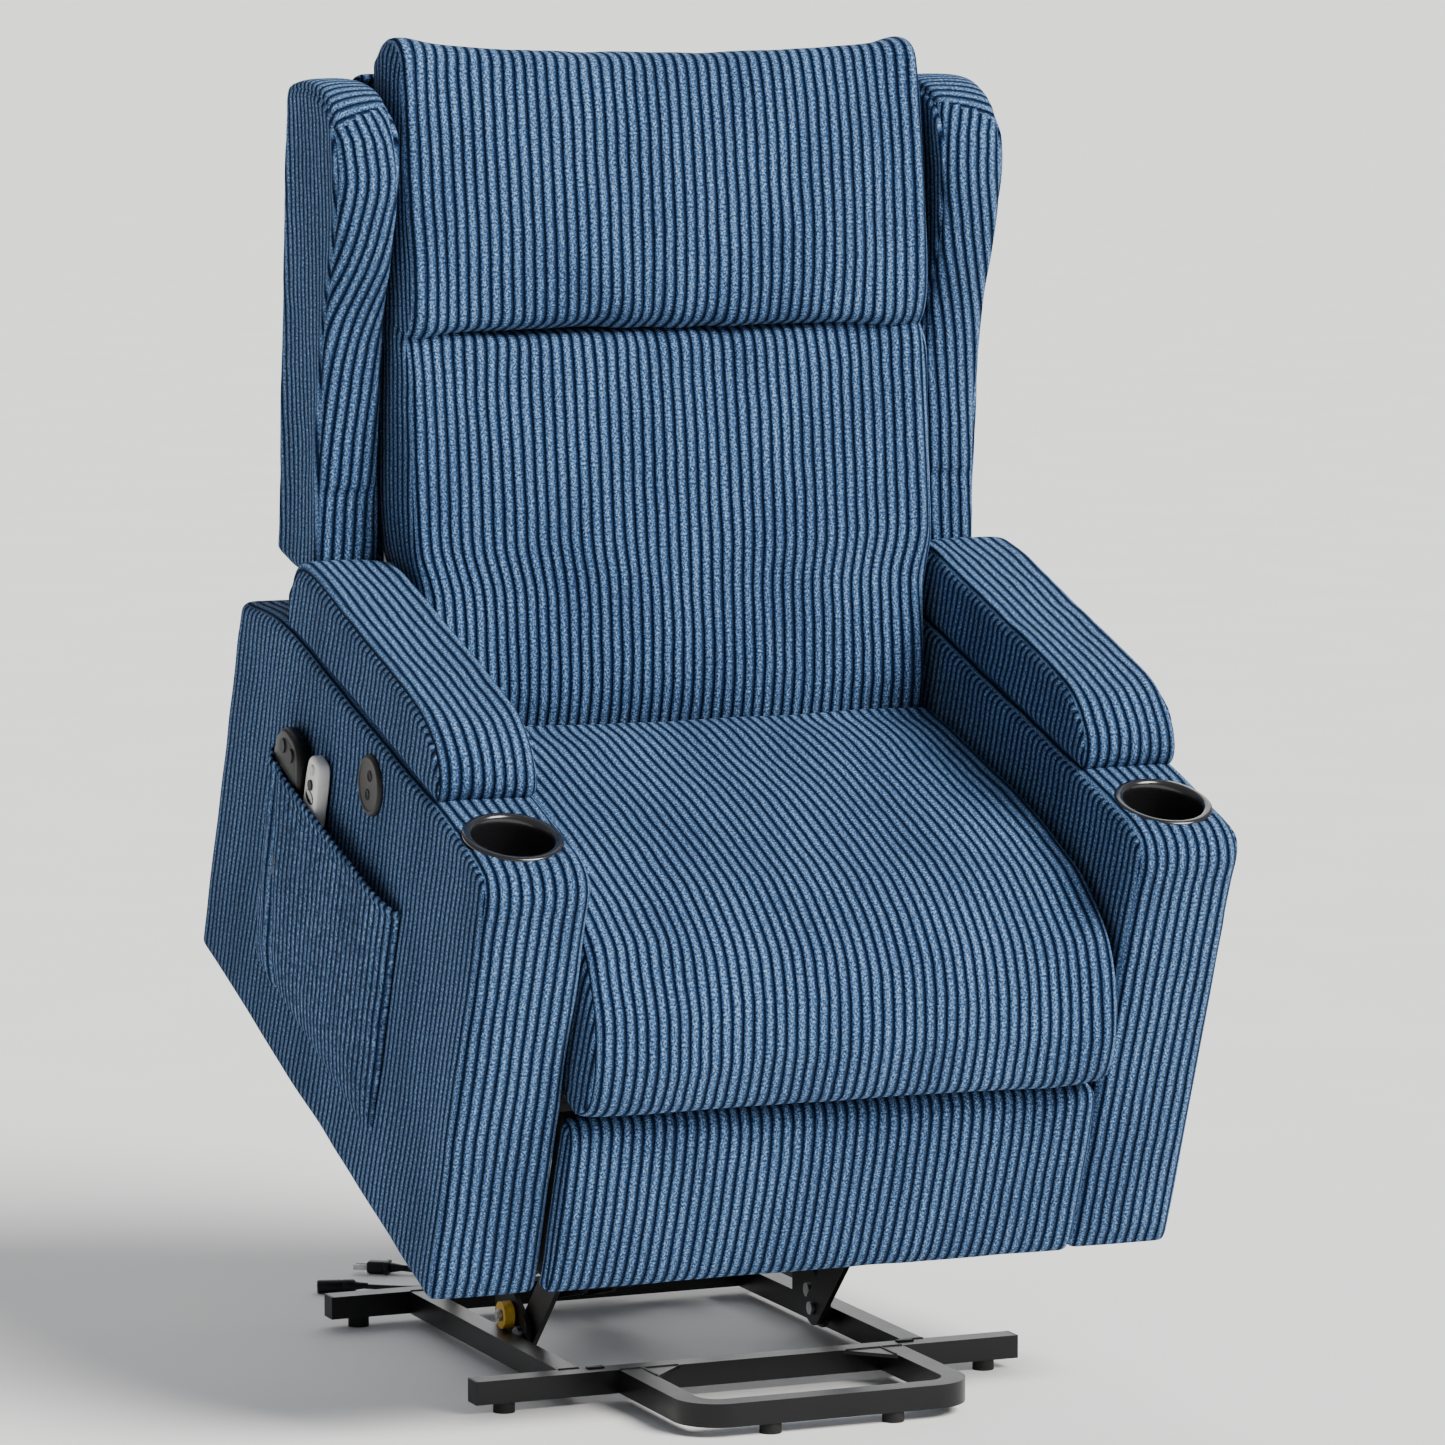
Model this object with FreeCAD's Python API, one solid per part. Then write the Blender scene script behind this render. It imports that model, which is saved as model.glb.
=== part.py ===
import FreeCAD, Part
import math
import os
from FreeCAD import Vector

# Power lift recliner, millimetres. X is across the chair, Y points to its back, Z is up.
# The row's origin is on the floor under the middle of the chair's box. The chair is drawn
# lifted, tipped forward on its base, and its pieces are drawn level in the chair's own
# frame first: origin on the centre line, at the bottom front of the arms.
os.makedirs("parts", exist_ok=True)

# ---- driving dimensions: base ---------------------------------------------------------
BASE_SHIFT_Y = -139.7          # moves the front tube's front face so that the box is centred
TUBE = 26.0                    # square tube, outside
TUBE_WALL = 2.0
TUBE_BOTTOM = 12.0             # height of the tubes above the floor
TUBE_TOP = TUBE_BOTTOM + TUBE
FRONT_TUBE_LENGTH = 642.0
REAR_TUBE_LENGTH = 624.0
REAR_TUBE_Y = 495.0            # front face of the rear tube, behind the front tube's face
RAIL_X = 206.5                 # middle of each side rail
LOOP_LEFT_X = -157.0           # outer faces of the front loop's two legs
LOOP_RIGHT_X = 182.0
LOOP_FRONT_Y = -206.0
LOOP_CORNER = 50.0             # outer radius of the loop's bends
GUSSET = 46.0

# ---- driving dimensions: lift linkage ---------------------------------------------------
LIFT_TILT = math.radians(20.45)
CHAIR_LIFTED = (-151.0, 164.0)       # chair origin (y, z) when lifted, from the front tube
LINK_PIVOT = (228.0, 38.0)           # main link's lower pivot (y, z)
LINK_LENGTH = 300.0
LINK_RAISED = math.radians(45.0)     # main link above the horizontal, pointing forward
LINK_LOWERED = math.radians(8.0)
LINK_WIDTH = 40.0
LINK_GAUGE = 6.0
MAIN_LINK_X = 172.0                  # inner face of each main link
REAR_LINK_X = 153.0                  # inner face of each rear link
REAR_PIVOT_Y = 500.0
REAR_PIN_CHAIR = (430.0, 38.5)       # rear link's pin on the chair (y, z)
REAR_LINK_WIDTH = 34.0
REAR_SLOT = (15.2, -5.2)             # from one end of the open pivot's slot to the other
REAR_SLOT_ROOM = 3.2                 # room all round the pin in that slot
LIFT_MOTOR_PIVOT = (410.0, 50.0)
LIFT_MOTOR_X = -20.0
LIFT_ROD_CHAIR = (300.0, 190.0)      # lift rod's pin on the chair
LIFT_ROD_SLACK = 6.6
RECLINE_MOTOR_PIVOT = (150.0, 110.0)
RECLINE_MOTOR_X = 75.0
RECLINE_CRANK = (650.0, 180.0)       # crank pin on the chair
RECLINE_EYE = (647.6, 176.5)         # middle of the rod's open eye round that pin
RECLINE_ROD_SLACK = 5.0
PIN_R = 5.0

# ---- driving dimensions: chair ----------------------------------------------------------
ARM_INNER = 311.5
ARM_OUTER = 435.0
ARM_DEPTH = 808.0
ARM_TOP = 503.0                # cup platform
ARM_SKIN = 10.0                # foam and cover over the arm's frame
ARM_BOARD = 15.0
PAD_FRONT = 168.0
PAD_BACK = 670.0
CUP_X = 375.0
CUP_Y = 82.0
CUP_FLANGE_R = 54.0
CUP_R = 45.0
CUP_DEPTH = 72.0
CUP_ROOM = 2.0                 # gap round and under the cup inside the arm
CHASSIS_Z = 26.0
CHASSIS_RAIL_X = 138.5
CHASSIS_TUBE = 25.0
CHASSIS_FRONT_Y = 95.0
CHASSIS_CROSS_Y = 280.0        # long cross tube, on top of the rails, behind the legrest's links
CHASSIS_BACK_Y = 470.0
ARM_SPACERS = [(115.0, 110.0), (292.5, 63.5), (440.0, 190.0)]    # (y, z) between plate and arm
SIDE_PLATE_X = 296.0           # inner face of each mechanism side plate
SEAT_FRAME_Z = 214.0
SEAT_HALF = 309.0
SEAT_BOTTOM = 246.0
LEGREST_HALF = 309.0
LEGREST_BOTTOM = 3.0
LEGREST_TOP = 207.0
POCKET = (215.0, 620.0, 78.0, 352.0)     # y from, y to, z from, z to
POCKET_GAP = 21.0              # room inside the side pocket
POCKET_CLOTH = 3.0
PORT = (342.0, 437.0)
PORT_R = 33.5

# ---- driving dimensions: legrest linkage --------------------------------------------------
LEG_PIVOT = (110.0, 200.0)
LEG_UPPER = 190.0
LEG_LOWER = 195.0
LEG_PANEL_PIVOT = (45.0, 60.0)

# ---- driving dimensions: back --------------------------------------------------------------
BACK_HINGE = (660.0, 285.0)
BACK_FOOT = (544.0, 402.0)               # cushion's front face where it meets the seat
BACK_LEAN = math.radians(22.2)           # from the chair's vertical
BACK_HALF = 304.0
BACK_TOP = 755.0
BACK_SEAM = 430.0
CUSHION_DEPTH = 105.0
WING_INNER = 324.0
WING_OUTER = 402.0

# ---- driving dimensions: leads ---------------------------------------------------------------
LEAD_R = 3.0
POWER_BOX_BACK = 560.0         # rear face of the power box, where the leads come out
GLAND_R = 7.0
COIL_INNER_R = 22.5
COIL_OUTER_R = 46.5
COIL_HEIGHT = 12.0
COIL_CENTRE = (116.0, 668.0)


# ---- frames --------------------------------------------------------------------------------
def turn_yz(point, angle):
    """(y, z) turned about +X."""
    y, z = point
    return (y * math.cos(angle) - z * math.sin(angle), y * math.sin(angle) + z * math.cos(angle))


def chair_to_base(point, lowered=0.0):
    """A point (y, z) of the chair, seen from the base: lowered 0 is lifted, 1 is seated."""
    angle = LINK_RAISED + (LINK_LOWERED - LINK_RAISED) * lowered
    tilt = LIFT_TILT * (1.0 - lowered)
    knee = along_link(LINK_PIVOT, LINK_LENGTH, angle)
    arm = turn_yz((point[0] - LINK_KNEE_CHAIR[0], point[1] - LINK_KNEE_CHAIR[1]), tilt)
    return (knee[0] + arm[0], knee[1] + arm[1])


def along_link(start, length, angle):
    """The far end of a link that points forward and rises by the angle."""
    return (start[0] - length * math.cos(angle), start[1] + length * math.sin(angle))


def rise(start, end):
    """The angle above the horizontal of a line that points forward."""
    return math.atan2(end[1] - start[1], start[0] - end[0])


def distance(a, b):
    return math.hypot(a[0] - b[0], a[1] - b[1])


def lifted_to_chair(point):
    offset = (point[0] - CHAIR_LIFTED[0], point[1] - CHAIR_LIFTED[1])
    return turn_yz(offset, -LIFT_TILT)


LINK_KNEE = along_link(LINK_PIVOT, LINK_LENGTH, LINK_RAISED)
LINK_KNEE_CHAIR = lifted_to_chair(LINK_KNEE)


def to_base(shape):
    """From the base's drawing frame, whose y = 0 is the front tube's face, to the row."""
    moved = shape.copy()
    moved.translate(Vector(0, BASE_SHIFT_Y, 0))
    return moved


def to_lifted(shape):
    """From the chair's own level frame to its lifted place in the row."""
    moved = shape.copy()
    moved.rotate(Vector(0, 0, 0), Vector(1, 0, 0), math.degrees(LIFT_TILT))
    moved.translate(Vector(0, CHAIR_LIFTED[0] + BASE_SHIFT_Y, CHAIR_LIFTED[1]))
    return moved


def back_point(height, depth):
    """(y, z) in the chair's frame of a point up the back's front face and behind it."""
    y = BACK_FOOT[0] + height * math.sin(BACK_LEAN) + depth * math.cos(BACK_LEAN)
    z = BACK_FOOT[1] + height * math.cos(BACK_LEAN) - depth * math.sin(BACK_LEAN)
    return (y, z)


# ---- shapes --------------------------------------------------------------------------------
def block(x, y, z):
    """A box from three (low, high) pairs."""
    return Part.makeBox(x[1] - x[0], y[1] - y[0], z[1] - z[0], Vector(x[0], y[0], z[0]))


def prism(outline, x0, x1):
    """A (y, z) outline swept across from x0 to x1."""
    points = [Vector(x0, y, z) for y, z in outline]
    face = Part.Face(Part.makePolygon(points + [points[0]]))
    return face.extrude(Vector(x1 - x0, 0, 0))


def rod(x0, x1, centre, radius):
    """A round bar along X."""
    return Part.makeCylinder(radius, x1 - x0, Vector(x0, centre[0], centre[1]), Vector(1, 0, 0))


def mirrored(shape):
    return shape.mirror(Vector(0, 0, 0), Vector(1, 0, 0))


def pair(shape):
    """A piece and its mirror image, left as two solids."""
    return [shape, mirrored(shape)]


def rounded(shape, radius, wanted):
    """Fillet the edges whose middle point satisfies the test."""
    edges = [e for e in shape.Edges if wanted(e.valueAt((e.FirstParameter + e.LastParameter) / 2), e)]
    return shape.makeFillet(radius, edges)


def is_straight_along(edge, axis):
    if not isinstance(edge.Curve, Part.Line):
        return False
    direction = edge.Curve.Direction
    return abs(abs(direction.dot(axis)) - 1.0) < 1e-6


X_AXIS = Vector(1, 0, 0)


def flat_bar(start, end, width, x0, x1):
    """A flat link with round ends between two (y, z) points."""
    length = distance(start, end)
    side = ((end[1] - start[1]) / length * width / 2, -(end[0] - start[0]) / length * width / 2)
    corners = [(start[0] + side[0], start[1] + side[1]), (end[0] + side[0], end[1] + side[1]),
               (end[0] - side[0], end[1] - side[1]), (start[0] - side[0], start[1] - side[1])]
    bar = prism(corners, x0, x1)
    for centre in (start, end):
        bar = bar.fuse(rod(x0, x1, centre, width / 2))
    return bar.removeSplitter()


def square_tube_x(length, y0, z0, size):
    outer = block((-length / 2, length / 2), (y0, y0 + size), (z0, z0 + size))
    wall = TUBE_WALL
    inner = block((-length / 2, length / 2), (y0 + wall, y0 + size - wall), (z0 + wall, z0 + size - wall))
    return outer.cut(inner)


def square_tube_y(x_mid, y0, y1, z0, size):
    half = size / 2
    wall = TUBE_WALL
    outer = block((x_mid - half, x_mid + half), (y0, y1), (z0, z0 + size))
    inner = block((x_mid - half + wall, x_mid + half - wall), (y0, y1), (z0 + wall, z0 + size - wall))
    return outer.cut(inner)


def bolt(x_head, x_end, centre, radius, head_r, nut=True):
    """A bolt along X with its head at x_head, and a nut that ends 2 mm before its tip."""
    sign = 1 if x_end > x_head else -1
    low, high = min(x_head, x_end), max(x_head, x_end)
    body = rod(low, high, centre, radius)
    head_low = min(x_head, x_head - sign * 4)
    body = body.fuse(rod(head_low, head_low + 4, centre, head_r))
    if nut:
        nut_low = min(x_end - sign * 2, x_end - sign * 7)
        body = body.fuse(rod(nut_low, nut_low + 5, centre, head_r))
    return body.removeSplitter()


NODES = {}


def keep(name, shapes, placed):
    """File one node: a solid, or a group of separate solids."""
    shapes = shapes if isinstance(shapes, list) else [shapes]
    solids = [solid for shape in shapes for solid in shape.Solids]
    NODES[name] = Part.makeCompound([placed(solid) for solid in solids])


# ---- base ------------------------------------------------------------------------------------
def make_base():
    keep("front_tube", square_tube_x(FRONT_TUBE_LENGTH, 0, TUBE_BOTTOM, TUBE), to_base)
    keep("rear_tube", square_tube_x(REAR_TUBE_LENGTH, REAR_TUBE_Y, TUBE_BOTTOM, TUBE), to_base)
    keep("side_rails", pair(square_tube_y(RAIL_X, TUBE, REAR_TUBE_Y, TUBE_BOTTOM, TUBE)), to_base)
    keep("front_loop", loop_tube(), to_base)
    keep("tube_end_caps", end_caps(), to_base)
    keep("rubber_feet", rubber_feet(), to_base)
    plates = pair(link_bracket()) + pair(rear_post()) + lift_motor_bracket() + loop_gussets()
    keep("base_plates", plates, to_base)
    keep("base_pivot_bolts", base_pivot_bolts() + pair(roller_axle()), to_base)
    for name, side in (("left_roller", -1), ("right_roller", 1)):
        tyre, hub = roller()
        keep(name + "_tyre", mirrored(tyre) if side < 0 else tyre, to_base)
        keep(name + "_hub", mirrored(hub) if side < 0 else hub, to_base)


def loop_outline(inset):
    """The loop's plan, open at the back where it meets the front tube."""
    left, right = LOOP_LEFT_X + inset, LOOP_RIGHT_X - inset
    front, radius = LOOP_FRONT_Y + inset, LOOP_CORNER - inset
    diagonal = radius * (1 - math.sqrt(0.5))
    z = TUBE_BOTTOM
    edges = [
        Part.LineSegment(Vector(left, 0, z), Vector(left, front + radius, z)),
        Part.Arc(Vector(left, front + radius, z), Vector(left + diagonal, front + diagonal, z),
                 Vector(left + radius, front, z)),
        Part.LineSegment(Vector(left + radius, front, z), Vector(right - radius, front, z)),
        Part.Arc(Vector(right - radius, front, z), Vector(right - diagonal, front + diagonal, z),
                 Vector(right, front + radius, z)),
        Part.LineSegment(Vector(right, front + radius, z), Vector(right, 0, z)),
        Part.LineSegment(Vector(right, 0, z), Vector(left, 0, z)),
    ]
    return Part.Face(Part.Wire([edge.toShape() for edge in edges]))


def loop_tube():
    up = Vector(0, 0, TUBE)
    outer = loop_outline(0).extrude(up).cut(loop_outline(TUBE).extrude(up))
    bore = loop_outline(TUBE_WALL).extrude(Vector(0, 0, TUBE - 2 * TUBE_WALL))
    bore = bore.cut(loop_outline(TUBE - TUBE_WALL).extrude(up))
    bore.translate(Vector(0, 0, TUBE_WALL))
    return outer.cut(bore)


def loop_gussets():
    """Triangles of plate in the loop's two rear corners, level with the tubes' tops."""
    low, thick = TUBE_TOP - 4, 4
    plates = []
    for x, side in ((LOOP_LEFT_X + TUBE, 1), (LOOP_RIGHT_X - TUBE, -1)):
        corner = [Vector(x, 0, low), Vector(x + side * GUSSET, 0, low), Vector(x, -GUSSET, low)]
        face = Part.Face(Part.makePolygon(corner + [corner[0]]))
        plates.append(face.extrude(Vector(0, 0, thick)))
    return plates


def end_caps():
    """Plastic caps on the four tube ends."""
    caps = []
    for half, y0 in ((FRONT_TUBE_LENGTH / 2, 0), (REAR_TUBE_LENGTH / 2, REAR_TUBE_Y)):
        cap = block((half, half + 3), (y0, y0 + TUBE), (TUBE_BOTTOM, TUBE_TOP))
        plug_y = (y0 + TUBE_WALL + 0.1, y0 + TUBE - TUBE_WALL - 0.1)
        plug_z = (TUBE_BOTTOM + TUBE_WALL + 0.1, TUBE_TOP - TUBE_WALL - 0.1)
        caps += pair(cap.fuse(block((half - 12, half), plug_y, plug_z)))
    return caps


def rubber_feet():
    """Six round pads under the tube ends and the loop."""
    places = []
    for side in (-1, 1):
        places.append((side * (FRONT_TUBE_LENGTH / 2 - 34), TUBE / 2))
        places.append((side * (REAR_TUBE_LENGTH / 2 - 34), REAR_TUBE_Y + TUBE / 2))
        places.append((12 + side * 72, LOOP_FRONT_Y + TUBE / 2))
    return [Part.makeCylinder(12, TUBE_BOTTOM, Vector(x, y, 0)) for x, y in places]


def link_bracket():
    """Plate inside the right rail that holds the main link's pivot and the roller's axle."""
    outline = [(208, 26), (220, 16), (256, 16), (305, 40), (305, 98), (272, 98), (240, 74), (208, 52)]
    plate = prism(outline, 180, 186)
    rail_face = RAIL_X - TUBE / 2
    plate = plate.fuse(block((186, rail_face), (246, 300), (18, 36)))
    for centre in (LINK_PIVOT, ROLLER_CENTRE):
        plate = plate.cut(rod(170, 200, centre, PIN_R + 0.05))
    return plate.removeSplitter()


ROLLER_CENTRE = (252.0, 54.5)
ROLLER_R = 15.5
ROLLER_BORE = 4.0


def roller():
    """Yellow tyre on a steel hub, just above the rail."""
    x0, x1 = 188.0, 200.0
    tyre = rod(x0, x1, ROLLER_CENTRE, ROLLER_R).cut(rod(x0, x1, ROLLER_CENTRE, 9))
    hub = rod(x0, x1, ROLLER_CENTRE, 9).cut(rod(x0, x1, ROLLER_CENTRE, ROLLER_BORE + 0.05))
    return tyre, hub


def roller_axle():
    """Stepped axle: a thick shank in the bracket, a thin one through the roller."""
    axle = rod(174, 187.5, ROLLER_CENTRE, PIN_R).fuse(rod(187.5, 205, ROLLER_CENTRE, ROLLER_BORE))
    axle = axle.fuse(rod(174, 179.9, ROLLER_CENTRE, 8))
    return axle.fuse(rod(200.5, 204, ROLLER_CENTRE, 7)).removeSplitter()


def rear_post():
    """Plate post on the rear tube that carries a rear link."""
    top = REAR_PIVOT[1] + 16
    outline = [(486, TUBE_TOP), (521, TUBE_TOP), (514, top), (488, top)]
    post = prism(outline, 161, 167)
    foot = block((161, 192), (497, 519), (TUBE_TOP, TUBE_TOP + 4))
    return post.fuse(foot).cut(rod(150, 175, REAR_PIVOT, PIN_R + 0.05)).removeSplitter()


def lift_motor_bracket():
    """Two ears that reach forward from the rear tube to the lift motor's pivot."""
    outline = [(REAR_TUBE_Y, 16), (REAR_TUBE_Y, TUBE_TOP), (415, 62), (400, 60), (396, 46), (404, 38)]
    ears = []
    for x in (LIFT_MOTOR_X - 20, LIFT_MOTOR_X + 15):
        ears.append(prism(outline, x, x + 5).cut(rod(x, x + 5, LIFT_MOTOR_PIVOT, PIN_R + 0.05)))
    return ears


def base_pivot_bolts():
    """Pivot bolts of the main links, the rear links and the lift motor."""
    bolts = pair(bolt(171.5, 193.3, LINK_PIVOT, PIN_R, 7.5))
    bolts += pair(bolt(152.5, 175, REAR_PIVOT, PIN_R, 8))
    bolts.append(bolt(LIFT_MOTOR_X - 20.5, LIFT_MOTOR_X + 28, LIFT_MOTOR_PIVOT, PIN_R, 8))
    return bolts


def rear_link_pivot():
    """Where the rear link's lower pivot must be for the pin to pass through both end poses."""
    lifted = chair_to_base(REAR_PIN_CHAIR, 0.0)
    seated = chair_to_base(REAR_PIN_CHAIR, 1.0)
    middle = ((lifted[0] + seated[0]) / 2, (lifted[1] + seated[1]) / 2)
    travel = (lifted[0] - seated[0], lifted[1] - seated[1])
    return (REAR_PIVOT_Y, middle[1] - (REAR_PIVOT_Y - middle[0]) * travel[0] / travel[1])


REAR_PIVOT = rear_link_pivot()


# ---- lift links --------------------------------------------------------------------------------
def make_lift_links():
    x0, x1 = MAIN_LINK_X, MAIN_LINK_X + LINK_GAUGE
    link = flat_bar(LINK_PIVOT, LINK_KNEE, LINK_WIDTH, x0, x1)
    link = link.cut(rod(x0, x1, LINK_PIVOT, PIN_R + 0.05)).cut(rod(x0, x1, LINK_KNEE, PIN_R + 0.05))
    brace = along_link(LINK_PIVOT, 0.6 * LINK_LENGTH, LINK_RAISED)
    tube = rod(-x0, x0, brace, 11).cut(rod(-x0, x0, brace, 9))
    keep("main_links", pair(link) + [tube], to_base)

    x0, x1 = REAR_LINK_X, REAR_LINK_X + LINK_GAUGE
    pin = chair_to_base(REAR_PIN_CHAIR)
    slot_end = (pin[0] + REAR_SLOT[0], pin[1] + REAR_SLOT[1])
    eye = (pin[0] + REAR_SLOT[0] / 2, pin[1] + REAR_SLOT[1] / 2)
    link = flat_bar(REAR_PIVOT, eye, REAR_LINK_WIDTH, x0, x1)
    slot = flat_bar(pin, slot_end, 2 * (PIN_R + REAR_SLOT_ROOM), x0, x1)
    link = link.cut(slot).cut(rod(x0, x1, REAR_PIVOT, PIN_R + 0.05))
    keep("rear_links", pair(link), to_base)


# ---- motors --------------------------------------------------------------------------------
def motor_pieces(pivot, rod_end, x_mid, slack, rod_length):
    """A gearbox with its motor, an outer tube and a sliding rod, along one line."""
    length = distance(pivot, rod_end)
    centre = Vector(x_mid, 0, 0)

    def round_bar(start, end, radius):
        return Part.makeCylinder(radius, end - start, Vector(x_mid, -start, 0), Vector(0, -1, 0))

    casing = block((x_mid - 36, x_mid + 36), (-124, -20), (-27, 27))
    casing = rounded(casing, 8, lambda p, e: is_straight_along(e, Vector(0, 1, 0)))
    eye = block((x_mid - 12, x_mid + 12), (-24, 0), (-9, 9)).fuse(rod(x_mid - 12, x_mid + 12, (0, 0), 9))
    casing = casing.fuse(eye).cut(rod(x_mid - 12, x_mid + 12, (0, 0), PIN_R + 0.05))
    casing = casing.cut(round_bar(110, 126, 17.8))
    tube = round_bar(110, 330, 17.8).cut(round_bar(110, 330, 10.05))
    casing = casing.cut(round_bar(60, 126, 10.4))
    shaft = round_bar(length - rod_length, length - 26, 10)
    plate = rod(x_mid - 6, x_mid + 6, (-length, 0), 8 + PIN_R + slack)
    plate = plate.fuse(block((x_mid - 6, x_mid + 6), (-length + 4, -length + 34), (-10, 10)))
    plate = plate.cut(rod(x_mid - 6, x_mid + 6, (-length, 0), PIN_R + 1 + slack))
    shaft = shaft.cut(plate).fuse(plate)
    rising = math.degrees(rise(pivot, rod_end))
    placed = []
    for shape in (casing, tube, shaft):
        shape = shape.removeSplitter()
        shape.rotate(Vector(0, 0, 0), X_AXIS, -rising)
        shape.translate(Vector(0, pivot[0], pivot[1]))
        placed.append(shape)
    return placed


def make_motors():
    pin = chair_to_base(LIFT_ROD_CHAIR)
    end = (pin[0], pin[1] + LIFT_ROD_SLACK)
    casing, tube, shaft = motor_pieces(LIFT_MOTOR_PIVOT, end, LIFT_MOTOR_X, LIFT_ROD_SLACK, 245)
    keep("lift_motor", [casing, tube], to_base)
    keep("lift_rod", shaft, to_base)
    casing, tube, shaft = motor_pieces(RECLINE_MOTOR_PIVOT, flipped(RECLINE_EYE, RECLINE_MOTOR_PIVOT),
                                       RECLINE_MOTOR_X, RECLINE_ROD_SLACK, 250)
    keep("recline_motor", [turned_back(casing), turned_back(tube)], to_lifted)
    keep("recline_rod", turned_back(shaft), to_lifted)


def flipped(point, pivot):
    """The same distance on the other side of a pivot's vertical plane."""
    return (2 * pivot[0] - point[0], point[1])


def turned_back(shape):
    """A motor drawn pointing forward, turned to point to the back."""
    return shape.mirror(Vector(0, RECLINE_MOTOR_PIVOT[0], 0), Vector(0, 1, 0))


# ---- chassis and seat frame ---------------------------------------------------------------------
def make_chassis():
    high = CHASSIS_Z + CHASSIS_TUBE
    between_rails = 2 * CHASSIS_RAIL_X - CHASSIS_TUBE
    tubes = [square_tube_x(between_rails, CHASSIS_FRONT_Y, CHASSIS_Z, CHASSIS_TUBE),
             square_tube_x(2 * SIDE_PLATE_X, CHASSIS_CROSS_Y, high, CHASSIS_TUBE)]
    tubes += pair(square_tube_y(CHASSIS_RAIL_X, CHASSIS_FRONT_Y, CHASSIS_BACK_Y, CHASSIS_Z, CHASSIS_TUBE))
    tubes.append(lift_cross_bar())
    keep("chassis_tubes", tubes, to_lifted)
    plates = pair(knee_bracket()) + pair(hinge_bracket()) + recline_motor_bracket(high)
    keep("chassis_brackets", plates, to_lifted)
    keep("side_plates", pair(side_plate()), to_lifted)
    rails = pair(block((270, 308), (60, 556), (SEAT_FRAME_Z, 240)))
    rails.append(block((-308, 308), (26, 60), (SEAT_FRAME_Z, 240)))
    rails.append(block((-270, 270), (440, 470), (SEAT_FRAME_Z, 240)))
    keep("seat_frame", rails, to_lifted)
    straps = [block((x - 25, x + 25), (32, 466), (240, 243)) for x in (-220, -132, -44, 44, 132, 220)]
    keep("seat_webbing", straps, to_lifted)
    keep("chair_bolts", chair_bolts(), to_lifted)


def lift_cross_bar():
    """Bar between the side plates, thin where the lift rod's eye goes round it."""
    bar = rod(-SIDE_PLATE_X, SIDE_PLATE_X, LIFT_ROD_CHAIR, PIN_R)
    bar = bar.fuse(rod(LIFT_MOTOR_X + 14, SIDE_PLATE_X, LIFT_ROD_CHAIR, 12.5))
    return bar.fuse(rod(-SIDE_PLATE_X, LIFT_MOTOR_X - 14, LIFT_ROD_CHAIR, 12.5)).removeSplitter()


def chair_bolts():
    """Pins and bolts of the lift links, the legrest, the arms and the recline motor."""
    rail_face = CHASSIS_RAIL_X + CHASSIS_TUBE / 2
    bolts = pair(rod(rail_face, REAR_LINK_X + LINK_GAUGE + 1, REAR_PIN_CHAIR, PIN_R))
    bolts += pair(bolt(187, 165, LINK_KNEE_CHAIR, PIN_R, 8, nut=False))
    bolts += pair(bolt(SIDE_PLATE_X + 4.5, 288.5, LEG_PIVOT, PIN_R, 9, nut=False))
    for centre in ARM_SPACERS:
        bolts += pair(rod(SIDE_PLATE_X + 4, ARM_INNER, centre, 9))
    bolts.append(bolt(RECLINE_MOTOR_X - 20.5, RECLINE_MOTOR_X + 28, RECLINE_MOTOR_PIVOT, PIN_R, 8))
    return bolts


def knee_bracket():
    """Plate beside the chassis rail that holds the top of the main link."""
    y, z = LINK_KNEE_CHAIR
    outline = [(y - 16, z - 14), (y + 16, z - 14), (y + 20, z + 28), (y - 20, z + 28)]
    plate = prism(outline, 165, 171)
    flange = block((CHASSIS_RAIL_X + CHASSIS_TUBE / 2, 165), (y - 20, y + 20), (CHASSIS_Z + 8, z + 28))
    return plate.fuse(flange).cut(rod(160, 175, LINK_KNEE_CHAIR, PIN_R + 0.05)).removeSplitter()


def side_plate():
    """Mechanism plate between the chassis tubes and the seat frame."""
    outline = [(85, 20), (330, 20), (480, 120), (560, 170), (560, SEAT_FRAME_Z), (85, SEAT_FRAME_Z)]
    plate = prism(outline, SIDE_PLATE_X, SIDE_PLATE_X + 4)
    return plate.cut(rod(SIDE_PLATE_X, SIDE_PLATE_X + 4, LEG_PIVOT, PIN_R + 0.05))


def hinge_bracket():
    """Plate on the seat's side rail that carries the back's hinge pin."""
    outline = [(500, 218), (556, 218), (672, 268), (676, 296), (650, 302), (500, 240)]
    plate = prism(outline, 302, 307.5)
    return plate.cut(rod(300, 310, BACK_HINGE, PIN_R + 0.05)).cut(
        block((270, 308), (60, 556), (SEAT_FRAME_Z, 240)))


def recline_motor_bracket(high):
    """Two ears on the short front tube for the recline motor's pivot."""
    outline = [(95, high), (120, high), (160, 100), (160, 120), (142, 120), (95, 70)]
    ears = []
    for x in (RECLINE_MOTOR_X - 20, RECLINE_MOTOR_X + 15):
        ears.append(prism(outline, x, x + 5).cut(rod(x, x + 5, RECLINE_MOTOR_PIVOT, PIN_R + 0.05)))
    return ears


# ---- arms ------------------------------------------------------------------------------------
def arm_outline(inset):
    """Side view of the arm box: level cup platform, then a slope under the pad."""
    i = inset
    return [(i, 0), (ARM_DEPTH - i, 0), (ARM_DEPTH - i, 438 - i), (661, 473 - i), (433, 488 - i),
            (PAD_FRONT + 4, ARM_TOP - i), (i, ARM_TOP - i)]


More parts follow.
